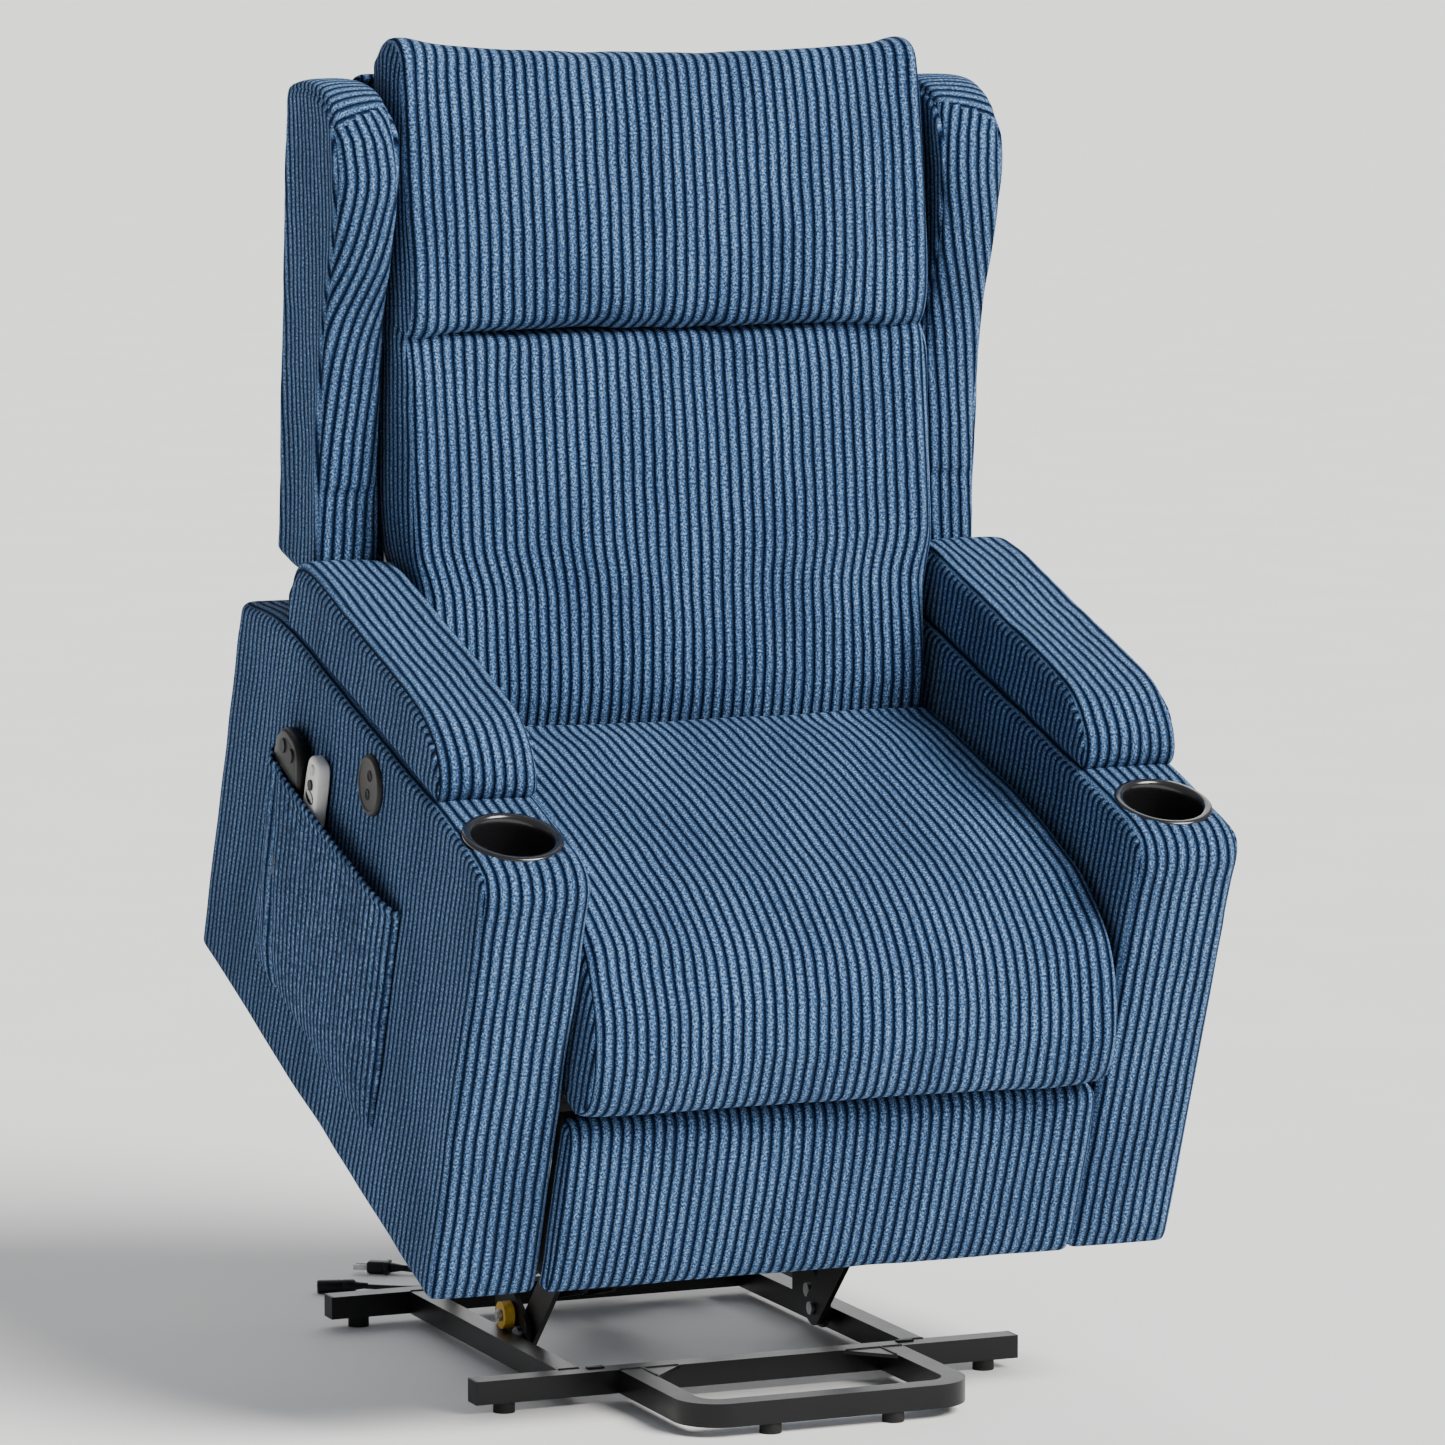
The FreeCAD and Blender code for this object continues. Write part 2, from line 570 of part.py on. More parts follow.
def arm_shell(inset, thickness):
    """A right arm box, open below, whose walls start at the inset."""
    outer = prism(arm_outline(inset), ARM_INNER + inset, ARM_OUTER - inset)
    deep = inset + thickness
    inner_outline = [(y, z if z > 0 else -1) for y, z in arm_outline(deep)]
    inner = prism(inner_outline, ARM_INNER + deep, ARM_OUTER - deep)
    cup_floor = ARM_TOP - CUP_DEPTH - CUP_ROOM
    cup = Part.makeCylinder(CUP_R + CUP_ROOM, ARM_TOP + 1 - cup_floor, Vector(CUP_X, CUP_Y, cup_floor))
    return outer.cut(inner).cut(cup)


def arm_pad():
    """Padded top of the right arm: a bowed upper face over the sloping box."""
    top = [(PAD_FRONT, 552), (190, 569), (280, 574), (400, 567), (530, 556), (600, 547), (644, 534),
           (664, 512), (PAD_BACK, 480)]
    curve = Part.BSplineCurve()
    curve.interpolate([Vector(ARM_INNER + 1, y, z) for y, z in top])
    bottom = [(PAD_BACK, 472), (661, 474), (433, 489), (PAD_FRONT, 504)]
    start = top[-1]
    lines = []
    for y, z in bottom + [top[0]]:
        lines.append(Part.makeLine(Vector(ARM_INNER + 1, start[0], start[1]), Vector(ARM_INNER + 1, y, z)))
        start = (y, z)
    face = Part.Face(Part.Wire([curve.toShape()] + lines))
    return face.extrude(Vector(ARM_OUTER - ARM_INNER - 2, 0, 0))


def cup_holder():
    """Plastic cup with a flange that rests on the arm's platform."""
    base = Vector(CUP_X, CUP_Y, 0)
    outer = Part.makeCylinder(CUP_R, CUP_DEPTH, base + Vector(0, 0, ARM_TOP + 0.3 - CUP_DEPTH))
    flange = Part.makeCylinder(CUP_FLANGE_R, 5, base + Vector(0, 0, ARM_TOP + 0.3))
    inside = Part.makeCylinder(CUP_R - 3, CUP_DEPTH + 10, base + Vector(0, 0, ARM_TOP + 3.3 - CUP_DEPTH))
    return outer.fuse(flange).cut(inside).removeSplitter()


def side_pocket():
    """Cloth tray on the right arm's outer face, open at the top."""
    y0, y1, z0, z1 = POCKET
    x0 = ARM_OUTER
    outer = block((x0, x0 + POCKET_GAP + POCKET_CLOTH), (y0, y1), (z0, z1))
    cloth = POCKET_CLOTH
    room = block((x0, x0 + POCKET_GAP), (y0 + cloth, y1 - cloth), (z0 + cloth, z1))
    return outer.cut(room)


def dust_panel():
    """Thin panel that closes the arm's open bottom."""
    return block((ARM_INNER + 26, ARM_OUTER - 26), (26, ARM_DEPTH - 26), (0, 4))


def make_arms():
    for name, place in (("left", mirrored), ("right", lambda shape: shape)):
        keep(name + "_arm_cover", place(arm_shell(0, ARM_SKIN)), to_lifted)
        keep(name + "_arm_pad", place(arm_pad()), to_lifted)
        keep(name + "_cup_holder", place(cup_holder()), to_lifted)
        keep(name + "_pocket", place(side_pocket()), to_lifted)
    keep("arm_frames", pair(arm_shell(ARM_SKIN, ARM_BOARD)) + pair(dust_panel()), to_lifted)
    keep("power_port", power_port(), to_lifted)


def power_port():
    """Round socket plate on the left arm's outer face, with two small sockets."""
    x = -ARM_OUTER
    plate = rod(x - 5, x, PORT, PORT_R)
    plate = rounded(plate, 2, lambda p, e: abs(p.x - (x - 5)) < 0.1)
    for dz in (-11, 11):
        plate = plate.cut(rod(x - 6, x, (PORT[0], PORT[1] + dz), 4.5))
    return plate


# ---- seat cushion and legrest ----------------------------------------------------------------------
def make_seat():
    profile = [(-14, 214), (24, 214), (24, SEAT_BOTTOM), (462, SEAT_BOTTOM), (530, 418), (440, 432),
               (250, 440), (60, 438), (-20, 410), (-44, 350), (-46, 270)]
    cushion = prism(profile, -SEAT_HALF, SEAT_HALF)
    cushion = rounded(cushion, 20, lambda p, e: abs(abs(p.x) - SEAT_HALF) < 0.1 and p.z > 400)
    keep("seat_cushion", cushion, to_lifted)


def circle_crossing(centre_a, radius_a, centre_b, radius_b):
    """The rear one of the two points where two circles meet."""
    span = distance(centre_a, centre_b)
    along = (radius_a ** 2 - radius_b ** 2 + span ** 2) / (2 * span)
    off = math.sqrt(radius_a ** 2 - along ** 2)
    unit = ((centre_b[0] - centre_a[0]) / span, (centre_b[1] - centre_a[1]) / span)
    return (centre_a[0] + along * unit[0] - off * unit[1], centre_a[1] + along * unit[1] + off * unit[0])


LEG_ELBOW = circle_crossing(LEG_PIVOT, LEG_UPPER, LEG_PANEL_PIVOT, LEG_LOWER)


def make_legrest():
    upper_x, lower_x, panel_x = 289.0, 282.0, 275.0
    upper = flat_bar(LEG_PIVOT, LEG_ELBOW, 24, upper_x, upper_x + 5)
    upper = upper.cut(rod(upper_x, upper_x + 5, LEG_PIVOT, PIN_R + 0.05))
    upper = upper.cut(rod(upper_x, upper_x + 5, LEG_ELBOW, PIN_R + 0.05))
    keep("legrest_upper_links", pair(upper), to_lifted)
    lower = flat_bar(LEG_ELBOW, LEG_PANEL_PIVOT, 24, lower_x, lower_x + 5)
    lower = lower.cut(rod(lower_x, lower_x + 5, LEG_PANEL_PIVOT, PIN_R + 0.05))
    lower = lower.fuse(rod(lower_x, upper_x + 6, LEG_ELBOW, PIN_R))
    keep("legrest_lower_links", pair(lower), to_lifted)
    y, z = LEG_PANEL_PIVOT
    bracket = prism([(30, 30), (34, 30), (y + 12, z - 8), (y + 12, z + 10), (34, 110), (30, 110)],
                    panel_x, panel_x + 5)
    bracket = bracket.fuse(rod(panel_x, lower_x + 5.5, LEG_PANEL_PIVOT, PIN_R))
    bracket = bracket.removeSplitter()
    keep("legrest_brackets", pair(bracket) + [rod(-panel_x, panel_x, (y, z), 8)], to_lifted)
    board = block((-LEGREST_HALF + 6, LEGREST_HALF - 6), (16, 30), (LEGREST_BOTTOM + 8, LEGREST_TOP - 4))
    keep("legrest_board", board, to_lifted)
    pad = block((-LEGREST_HALF, LEGREST_HALF), (-20, 15.7), (LEGREST_BOTTOM, LEGREST_TOP))
    pad = rounded(pad, 12, lambda p, e: p.y < -19 and is_straight_along(e, X_AXIS))
    keep("legrest_cushion", pad, to_lifted)


# ---- back ------------------------------------------------------------------------------------
def back_prism(outline, x0, x1):
    """An outline of (height, depth) points on the back, swept across."""
    return prism([back_point(height, depth) for height, depth in outline], x0, x1)


def make_back():
    deep = CUSHION_DEPTH
    lumbar = back_prism([(-52, 8), (-30, 0), (BACK_SEAM - 4, 0), (BACK_SEAM - 4, deep), (-52, deep)],
                        -BACK_HALF, BACK_HALF)
    lumbar = rounded(lumbar, 18, lambda p, e: abs(abs(p.x) - BACK_HALF) < 0.1 and on_front(p))
    keep("lumbar_cushion", lumbar, to_lifted)
    head = back_prism([(BACK_SEAM, 0), (BACK_TOP - 30, 0), (BACK_TOP, 30), (BACK_TOP, deep - 20),
                       (BACK_TOP - 20, deep), (BACK_SEAM, deep)], -BACK_HALF, BACK_HALF)
    head = rounded(head, 18, lambda p, e: abs(abs(p.x) - BACK_HALF) < 0.1 and on_front(p))
    keep("head_cushion", head, to_lifted)
    rail = back_prism([(-95, deep + 2), (690, deep + 2), (690, deep + 34), (-95, deep + 34)], 262, 294)
    rail = rail.cut(rod(262, 310, BACK_HINGE, PIN_R + 0.05))
    crossings = [(-70, -30), (300, 340), (650, 690)]
    bars = [back_prism([(a, deep + 4), (b, deep + 4), (b, deep + 30), (a, deep + 30)], -262, 262)
            for a, b in crossings]
    hinge_pin = rod(262, 310, BACK_HINGE, PIN_R)
    keep("back_frame", pair(rail) + bars + pair(hinge_pin) + [recline_crank()], to_lifted)
    straps = [back_prism([(s, deep + 0.4), (s + 50, deep + 0.4), (s + 50, deep + 1.9), (s, deep + 1.9)],
                         -290, 290) for s in (40, 140, 240, 360, 460, 560)]
    keep("back_webbing", straps, to_lifted)
    wing = make_wing()
    keep("left_wing", mirrored(wing), to_lifted)
    keep("right_wing", wing, to_lifted)
    keep("outside_back", outside_back(), to_lifted)


def on_front(point):
    """Whether a point lies on the cushions' front face."""
    depth = ((point.y - BACK_FOOT[0]) * math.cos(BACK_LEAN)
             - (point.z - BACK_FOOT[1]) * math.sin(BACK_LEAN))
    return depth < 1.0


def recline_crank():
    """Lever under the back's lowest rail that the recline rod pulls."""
    root = back_point(-70, CUSHION_DEPTH + 17)
    outline = [(root[0] - 14, root[1] + 14), (root[0] + 14, root[1] + 14),
               (RECLINE_CRANK[0] + 14, RECLINE_CRANK[1] - 12), (RECLINE_CRANK[0] - 14, RECLINE_CRANK[1] - 12)]
    low = back_prism([(-70, CUSHION_DEPTH + 4), (-30, CUSHION_DEPTH + 4), (-30, CUSHION_DEPTH + 30),
                      (-70, CUSHION_DEPTH + 30)], -262, 262)
    ears = []
    for x in (RECLINE_MOTOR_X - 14, RECLINE_MOTOR_X + 8):
        ears.append(prism(outline, x, x + 6).cut(low))
    pin = rod(RECLINE_MOTOR_X - 14, RECLINE_MOTOR_X + 14, RECLINE_CRANK, PIN_R)
    return ears[0].fuse(ears[1]).fuse(pin)


def make_wing():
    """Right wing: a padded side whose ear reaches forward beside the head cushion."""
    front = [(178, 58), (350, 46), (440, 30), (520, -2), (575, -22), (615, -27), (655, -14), (685, 20),
             (704, 62), (708, 105)]
    curve = Part.BSplineCurve()
    points = [back_point(height, depth) for height, depth in front]
    curve.interpolate([Vector(WING_INNER, y, z) for y, z in points])
    rest = [(704, 148), (690, 160), (186, 199), (172, 190)]
    start = points[-1]
    lines = []
    for y, z in [back_point(height, depth) for height, depth in rest] + [points[0]]:
        lines.append(Part.makeLine(Vector(WING_INNER, start[0], start[1]), Vector(WING_INNER, y, z)))
        start = (y, z)
    face = Part.Face(Part.Wire([curve.toShape()] + lines))
    return face.extrude(Vector(WING_OUTER - WING_INNER, 0, 0))


def outside_back():
    """Panel that closes the back from behind, narrower where it drops between the arms."""
    upper = back_prism([(182, 172), (690, 160), (690, 172), (182, 199)], -WING_INNER + 1, WING_INNER - 1)
    lower = back_prism([(-60, 172), (182, 172), (182, 199), (-60, 190)], -300, 300)
    return upper.fuse(lower).removeSplitter()


# ---- controls --------------------------------------------------------------------------------
def make_controls():
    """Two hand controls that stand in the left pocket, with their keys."""
    x = -ARM_OUTER - 1.0
    handset = block((x - 18, x), (506, 598), (215, 396))
    handset = rounded(handset, 20, lambda p, e: is_straight_along(e, X_AXIS))
    keep_control("handset", handset, x - 18, [("up", 564, 374, 8.0), ("down", 538, 374, 8.0)])
    remote = block((x - 15, x), (455, 496), (240, 402))
    remote = rounded(remote, 18, lambda p, e: is_straight_along(e, X_AXIS))
    keep_control("remote", remote, x - 15, [("power", 475.5, 388, 6.0), ("mode", 475.5, 370, 6.0)])


def keep_control(name, shell, face_x, keys):
    """File a hand control and its keys, which stand 2 mm proud and sink 1.5 mm."""
    for key, y, z, radius in keys:
        shell = shell.cut(rod(face_x - 1, face_x + 4, (y, z), radius + 0.3))
        keep(name + "_key_" + key, rod(face_x - 2, face_x + 2.2, (y, z), radius), to_lifted)
    keep(name, shell, to_lifted)


# ---- leads -----------------------------------------------------------------------------------
MAINS_TO_COIL = [(40, 567, 50), (40, 591, 43), (45, 610, 25), (57, 622, 10), (77, 628, 3), (98.9, 628, 3)]
COIL_TO_PLUG = [(123.5, 710.3, 9), (96, 716, 6), (67, 721, 3), (36, 722, 3), (5, 720, 3), (-26, 722, 3),
                (-56, 731, 3), (-85, 745, 3), (-111, 759, 5), (-136, 776, 8)]
SOCKET_LEAD = [(-10, 567, 50), (-10, 590, 45), (-13, 612, 28), (-22, 632, 10), (-38, 646, 3), (-62, 656, 3),
               (-90, 662, 3), (-120, 668, 3), (-151, 674, 3), (-184, 681, 5), (-216, 690, 8)]


def lead_tube(route, name):
    """A round lead along straight runs joined by arcs that touch them."""
    points = [Vector(*point) for point in route]
    edges = []
    start = points[0]
    radii = []
    for before, corner, after in zip(points, points[1:], points[2:]):
        toward, away = corner - before, after - corner
        shorter = min(toward.Length, away.Length)
        turn = toward.getAngle(away)
        radii.append(0.45 * shorter / math.tan(turn / 2))
        cut = 0.45 * shorter
        arc_start = corner - toward.normalize() * cut
        arc_end = corner + away.normalize() * cut
        bisector = (toward * -1 + away).normalize()
        half_turn = turn / 2
        middle = corner + bisector * (radii[-1] / math.cos(half_turn) - radii[-1])
        edges.append(Part.LineSegment(start, arc_start).toShape())
        edges.append(Part.Arc(arc_start, middle, arc_end).toShape())
        start = arc_end
    edges.append(Part.LineSegment(start, points[-1]).toShape())
    path = Part.Wire(edges)
    direction = points[1] - points[0]
    section = Part.Wire(Part.makeCircle(LEAD_R, points[0], direction))
    tube = path.makePipeShell([section], True, True)
    volume = path.Length * math.pi * LEAD_R ** 2
    print(name, "length", round(path.Length, 1), "volume ratio", round(tube.Volume / volume, 4),
          "radii", [round(radius, 1) for radius in radii])
    return tube


def make_leads():
    box = block((-45, 75), (500, POWER_BOX_BACK), (TUBE_TOP, 82))
    box = rounded(box, 5, lambda p, e: is_straight_along(e, Vector(0, 0, 1)))
    keep("power_box", box, to_base)
    glands = []
    for x, y, z in (MAINS_TO_COIL[0], SOCKET_LEAD[0]):
        start = Vector(x, POWER_BOX_BACK, z)
        glands.append(Part.makeCone(GLAND_R, LEAD_R + 1.5, y - 1 - POWER_BOX_BACK, start, Vector(0, 1, 0)))
    keep("lead_glands", glands, to_base)
    near = lead_tube(MAINS_TO_COIL, "mains lead, near part")
    far = lead_tube(COIL_TO_PLUG, "mains lead, far part")
    keep("mains_lead", [near, far], to_base)
    keep("mains_lead_coil", coil_solid(), to_base)
    keep("mains_plug", mains_plug(), to_base)
    keep("socket_lead", lead_tube(SOCKET_LEAD, "socket lead"), to_base)
    keep("socket_connector", socket_connector(), to_base)


def coil_solid():
    """Outer shape of the put-away turns, two layers high."""
    x, y = COIL_CENTRE
    outer = Part.makeCylinder(COIL_OUTER_R, COIL_HEIGHT, Vector(x, y, 0))
    return outer.cut(Part.makeCylinder(COIL_INNER_R, COIL_HEIGHT, Vector(x, y, 0)))


def pointing(shape, start, end):
    """A piece drawn along +X from the origin, laid so that it points from start to end."""
    heading = math.degrees(math.atan2(end[1] - start[1], end[0] - start[0]))
    moved = shape.copy()
    moved.rotate(Vector(0, 0, 0), Vector(0, 0, 1), heading)
    moved.translate(Vector(*end))
    return moved


def mains_plug():
    """Moulded two-blade plug at the end of the mains lead."""
    body = block((0, 34), (-9, 9), (-8, 8)).fuse(block((4, 10), (-12, 12), (-8, 10)))
    blades = [block((34, 50), (side * 6.35 - 0.8, side * 6.35 + 0.8), (-3.2, 3.2)) for side in (-1, 1)]
    plug = body.fuse(blades[0]).fuse(blades[1]).removeSplitter()
    before = COIL_TO_PLUG[-2]
    return pointing(plug, (before[0], before[1], 8), COIL_TO_PLUG[-1])


def socket_connector():
    """Round inline socket at the end of the second lead."""
    body = Part.makeCylinder(8, 46, Vector(0, 0, 0), X_AXIS)
    body = body.cut(Part.makeCylinder(3, 14, Vector(32, 0, 0), X_AXIS))
    before = SOCKET_LEAD[-2]
    return pointing(body, (before[0], before[1], 8), SOCKET_LEAD[-1])


# ---- build -----------------------------------------------------------------------------------
make_base()
make_lift_links()
make_motors()
make_chassis()
make_arms()
make_seat()
make_legrest()
make_back()
make_controls()
make_leads()

for node_name, node_shape in NODES.items():
    node_shape.exportStep("parts/" + node_name + ".step")

ON_LEADS = ("mains_lead", "mains_lead_coil", "mains_plug", "socket_lead", "socket_connector")
chair = Part.makeCompound([shape for name, shape in NODES.items() if name not in ON_LEADS])
print("nodes", len(NODES), "box", chair.optimalBoundingBox(False))
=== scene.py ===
import bmesh
import bpy
import math
import numpy as np
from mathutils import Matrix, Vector, noise


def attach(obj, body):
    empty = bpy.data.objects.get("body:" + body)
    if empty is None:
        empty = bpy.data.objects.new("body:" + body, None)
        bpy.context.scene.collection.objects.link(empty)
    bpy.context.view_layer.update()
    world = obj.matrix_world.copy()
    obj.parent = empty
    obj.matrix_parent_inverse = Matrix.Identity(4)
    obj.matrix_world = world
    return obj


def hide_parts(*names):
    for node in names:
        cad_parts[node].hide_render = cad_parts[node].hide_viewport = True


# A lift recliner in blue wide-wale corduroy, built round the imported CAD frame.
# Shapes are drawn in millimetres in the part's own frames (base, chair, back) and placed in metres.
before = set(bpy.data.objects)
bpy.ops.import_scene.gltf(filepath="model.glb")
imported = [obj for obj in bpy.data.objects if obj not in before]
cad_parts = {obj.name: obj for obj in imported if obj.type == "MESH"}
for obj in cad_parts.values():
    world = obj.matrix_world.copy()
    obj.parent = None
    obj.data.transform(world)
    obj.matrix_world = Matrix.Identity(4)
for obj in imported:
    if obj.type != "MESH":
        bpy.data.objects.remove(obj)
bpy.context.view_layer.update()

MM = 0.001
TILT = math.radians(20.45)          # the raised chair tips forward
LEAN = math.radians(22.2)           # the back leans from the chair's vertical
SHIFT_Y = -139.7                    # base drawing frame to the part's frame
CHAIR_Y, CHAIR_Z = -151.0 + SHIFT_Y, 164.0
BACK_Y, BACK_Z = 544.0, 402.0       # foot of the back's front face, in the chair's frame
ARM_INNER, ARM_OUTER = 311.5, 435.0
CUP_X, CUP_Y, PLATFORM_Z = 375.0, 82.0, 503.0
STEP = 8.0                          # mesh spacing on the soft pieces
RIB = 12.3                          # corduroy rib pitch
SEAT_HALF, BACK_HALF, FOOT_HALF, PANEL_HALF = 308, 303, 310.5, 323


def base(x, y, z):
    return Vector((x, y + SHIFT_Y, z)) * MM


def chair(x, y, z):
    turned_y = y * math.cos(TILT) - z * math.sin(TILT)
    turned_z = y * math.sin(TILT) + z * math.cos(TILT)
    return Vector((x, turned_y + CHAIR_Y, turned_z + CHAIR_Z)) * MM


def back(x, up, deep):
    y = BACK_Y + up * math.sin(LEAN) + deep * math.cos(LEAN)
    z = BACK_Z + up * math.cos(LEAN) - deep * math.sin(LEAN)
    return chair(x, y, z)


# ---- camera ----
def make_camera():
    data = bpy.data.cameras.new("camera")
    data.lens = 167.3
    data.sensor_width = 36.0
    data.clip_end = 1000.0
    camera = bpy.data.objects.new("camera", data)
    camera.location = (-2.8376, -6.8302, 1.5801)
    camera.rotation_euler = (math.pi / 2 - 0.1147, 0, -0.3967)
    bpy.context.scene.collection.objects.link(camera)
    bpy.context.scene.camera = camera


make_camera()


# ---- node helpers ----
class Nodes:
    """Short ways to add and wire one material's shader nodes."""

    def __init__(self, name):
        self.material = bpy.data.materials.new(name)
        self.material.use_nodes = True
        self.nodes = self.material.node_tree.nodes
        self.links = self.material.node_tree.links
        self.shader = self.nodes["Principled BSDF"]

    def add(self, kind, **values):
        node = self.nodes.new(kind)
        for key, value in values.items():
            setattr(node, key, value)
        return node

    def feed(self, socket, value):
        if hasattr(value, "is_output"):
            self.links.new(value, socket)
        else:
            socket.default_value = value

    def wire(self, kind, inputs, output, **values):
        """Add a node, fill its inputs by name or number, and give back one of its outputs."""
        node = self.add(kind, **values)
        for key, value in inputs.items():
            self.feed(node.inputs[key], value)
        return node.outputs[output]

    def math(self, operation, a, b=0.0):
        return self.wire("ShaderNodeMath", {0: a, 1: b}, 0, operation=operation)

    def noise(self, vector, scale, detail=2.0, rough=0.5):
        inputs = {"Vector": vector, "Scale": scale, "Detail": detail, "Roughness": rough}
        return self.wire("ShaderNodeTexNoise", inputs, "Fac")

    def stretch(self, vector, scale):
        return self.wire("ShaderNodeVectorMath", {0: vector, 1: scale}, 0, operation="MULTIPLY")

    def ramp(self, factor, stops):
        node = self.add("ShaderNodeValToRGB")
        self.feed(node.inputs["Fac"], factor)
        elements = node.color_ramp.elements
        while len(elements) < len(stops):
            elements.new(0.5)
        for element, (position, colour) in zip(elements, stops):
            element.position = position
            element.color = (*colour, 1.0)
        return node.outputs["Color"]

    def mix(self, factor, a, b, blend="MIX"):
        return self.wire("ShaderNodeMix", {0: factor, 6: a, 7: b}, 2, data_type="RGBA", blend_type=blend)

    def spread(self, factor, low, high):
        return self.wire("ShaderNodeMapRange", {"Value": factor, "To Min": low, "To Max": high}, "Result")

    def bump(self, height, distance, strength=1.0, under=None):
        inputs = {"Distance": distance, "Strength": strength, "Height": height}
        if under is not None:
            inputs["Normal"] = under
        return self.wire("ShaderNodeBump", inputs, "Normal")

    def set(self, **values):
        for key, value in values.items():
            self.feed(self.shader.inputs[key.replace("_", " ")], value)
        return self.material

    def place(self):
        return self.add("ShaderNodeTexCoord").outputs["Object"]


def shade(colour, factor):
    return tuple(min(1.0, c * factor) for c in colour)


# ---- materials ----
def corduroy(name):
    """Ribs across the piece's wale attribute: broad tops with a painted highlight, thin grooves darkened with
    painted shade, speckled pile.
    """
    n = Nodes(name)
    lay = n.add("ShaderNodeAttribute", attribute_name="wale").outputs["Vector"]
    parts = n.add("ShaderNodeSeparateXYZ")
    n.feed(parts.inputs[0], lay)
    wander = n.math("MULTIPLY", n.math("SUBTRACT", n.noise(lay, 22.0, 1.0), 0.5), 0.0022)
    turns = n.math("DIVIDE", n.math("ADD", parts.outputs["X"], wander), RIB * MM)
    beside = n.math("SUBTRACT", n.math("FRACT", turns), 0.5)
    off_top = n.math("MULTIPLY", n.math("ABSOLUTE", beside), 2.0)
    top = n.math("SUBTRACT", 1.0, n.math("POWER", off_top, 3.6))
    pile = n.noise(n.stretch(lay, (1.0, 0.75, 1.0)), 500.0, 3.0, 0.65)
    tufts = n.noise(n.stretch(lay, (1.0, 1.5, 1.0)), 260.0, 2.0, 0.6)
    nap = n.noise(n.stretch(lay, (1.0, 0.5, 1.0)), 9.0, 3.0, 0.55)
    # Painted light: the rib colour is lightest on the ridge tops (painted highlight) and falls to near black
    # in the grooves (painted shade).
    rib_highlight_and_shade = n.ramp(off_top, [(0.0, (0.069, 0.128, 0.246)), (0.32, (0.053, 0.103, 0.210)),
                           (0.59, (0.0190, 0.049, 0.119)), (0.77, (0.0022, 0.0110, 0.042)),
                           (1.0, (0.0005, 0.0038, 0.019))])
    speckle = n.ramp(pile, [(0.39, (0.20, 0.26, 0.36)), (0.50, (0.92, 0.92, 0.92)),
                            (0.60, (3.3, 2.9, 2.4))])
    tuft = n.ramp(tufts, [(0.36, (0.62, 0.65, 0.68)), (0.64, (1.42, 1.38, 1.34))])
    brushed = n.ramp(nap, [(0.32, (0.78, 0.80, 0.83)), (0.68, (1.24, 1.22, 1.19))])
    colour = n.mix(0.90, rib_highlight_and_shade, speckle, "MULTIPLY")
    colour = n.mix(0.90, colour, tuft, "MULTIPLY")
    colour = n.mix(1.0, colour, brushed, "MULTIPLY")
    ribs = n.bump(top, 0.0042)
    normal = n.bump(n.math("ADD", pile, n.math("MULTIPLY", tufts, 0.7)), 0.0014, 0.9, ribs)
    return n.set(Base_Color=colour, Roughness=n.spread(pile, 0.78, 0.98), Normal=normal,
                 Sheen_Weight=0.08, Sheen_Roughness=0.45, Sheen_Tint=(0.42, 0.66, 1.0, 1.0),
                 Specular_IOR_Level=0.06)


def grained(name, colour, rough, grain=700.0, depth=0.0002, worn=0.10, metallic=0.0, coat=0.0, patch=14.0):
    """Moulded or coated surface: a fine grain, and slow changes of colour and gloss."""
    n = Nodes(name)
    where = n.place()
    slow = n.noise(where, patch, 4.0, 0.6)
    fine = n.noise(where, grain, 2.0, 0.5)
    tone = n.ramp(slow, [(0.30, shade(colour, 1 - worn)), (0.70, shade(colour, 1 + worn * 2))])
    tone = n.mix(0.25, tone, n.ramp(fine, [(0.3, (0.8, 0.8, 0.8)), (0.7, (1.2, 1.2, 1.2))]), "MULTIPLY")
    gloss = n.math("ADD", n.spread(slow, rough - 0.06, rough + 0.08), n.spread(fine, -0.04, 0.04))
    return n.set(Base_Color=tone, Roughness=gloss, Normal=n.bump(fine, depth, 0.6), Metallic=metallic,
                 Coat_Weight=coat, Coat_Roughness=0.2, Specular_IOR_Level=0.3)


def brushed_metal(name, colour, rough):
    """Zinc plate: streaks along X and faint blotches."""
    n = Nodes(name)
    where = n.place()
    streaks = n.noise(n.stretch(where, (8.0, 900.0, 900.0)), 1.0, 3.0, 0.6)
    blotch = n.noise(where, 60.0, 3.0)
    tone = n.ramp(blotch, [(0.3, shade(colour, 0.8)), (0.7, shade(colour, 1.15))])
    return n.set(Base_Color=tone, Metallic=1.0, Roughness=n.spread(streaks, rough - 0.08, rough + 0.15),
                 Normal=n.bump(streaks, 0.0001, 0.5))


def plywood(name):
    n = Nodes(name)
    where = n.place()
    grain = n.noise(n.stretch(where, (6.0, 60.0, 240.0)), 1.0, 4.0, 0.65)
    tone = n.ramp(grain, [(0.3, (0.30, 0.19, 0.10)), (0.5, (0.50, 0.34, 0.19)), (0.72, (0.62, 0.45, 0.28))])
    return n.set(Base_Color=tone, Roughness=n.spread(grain, 0.55, 0.8), Normal=n.bump(grain, 0.0004, 0.7))


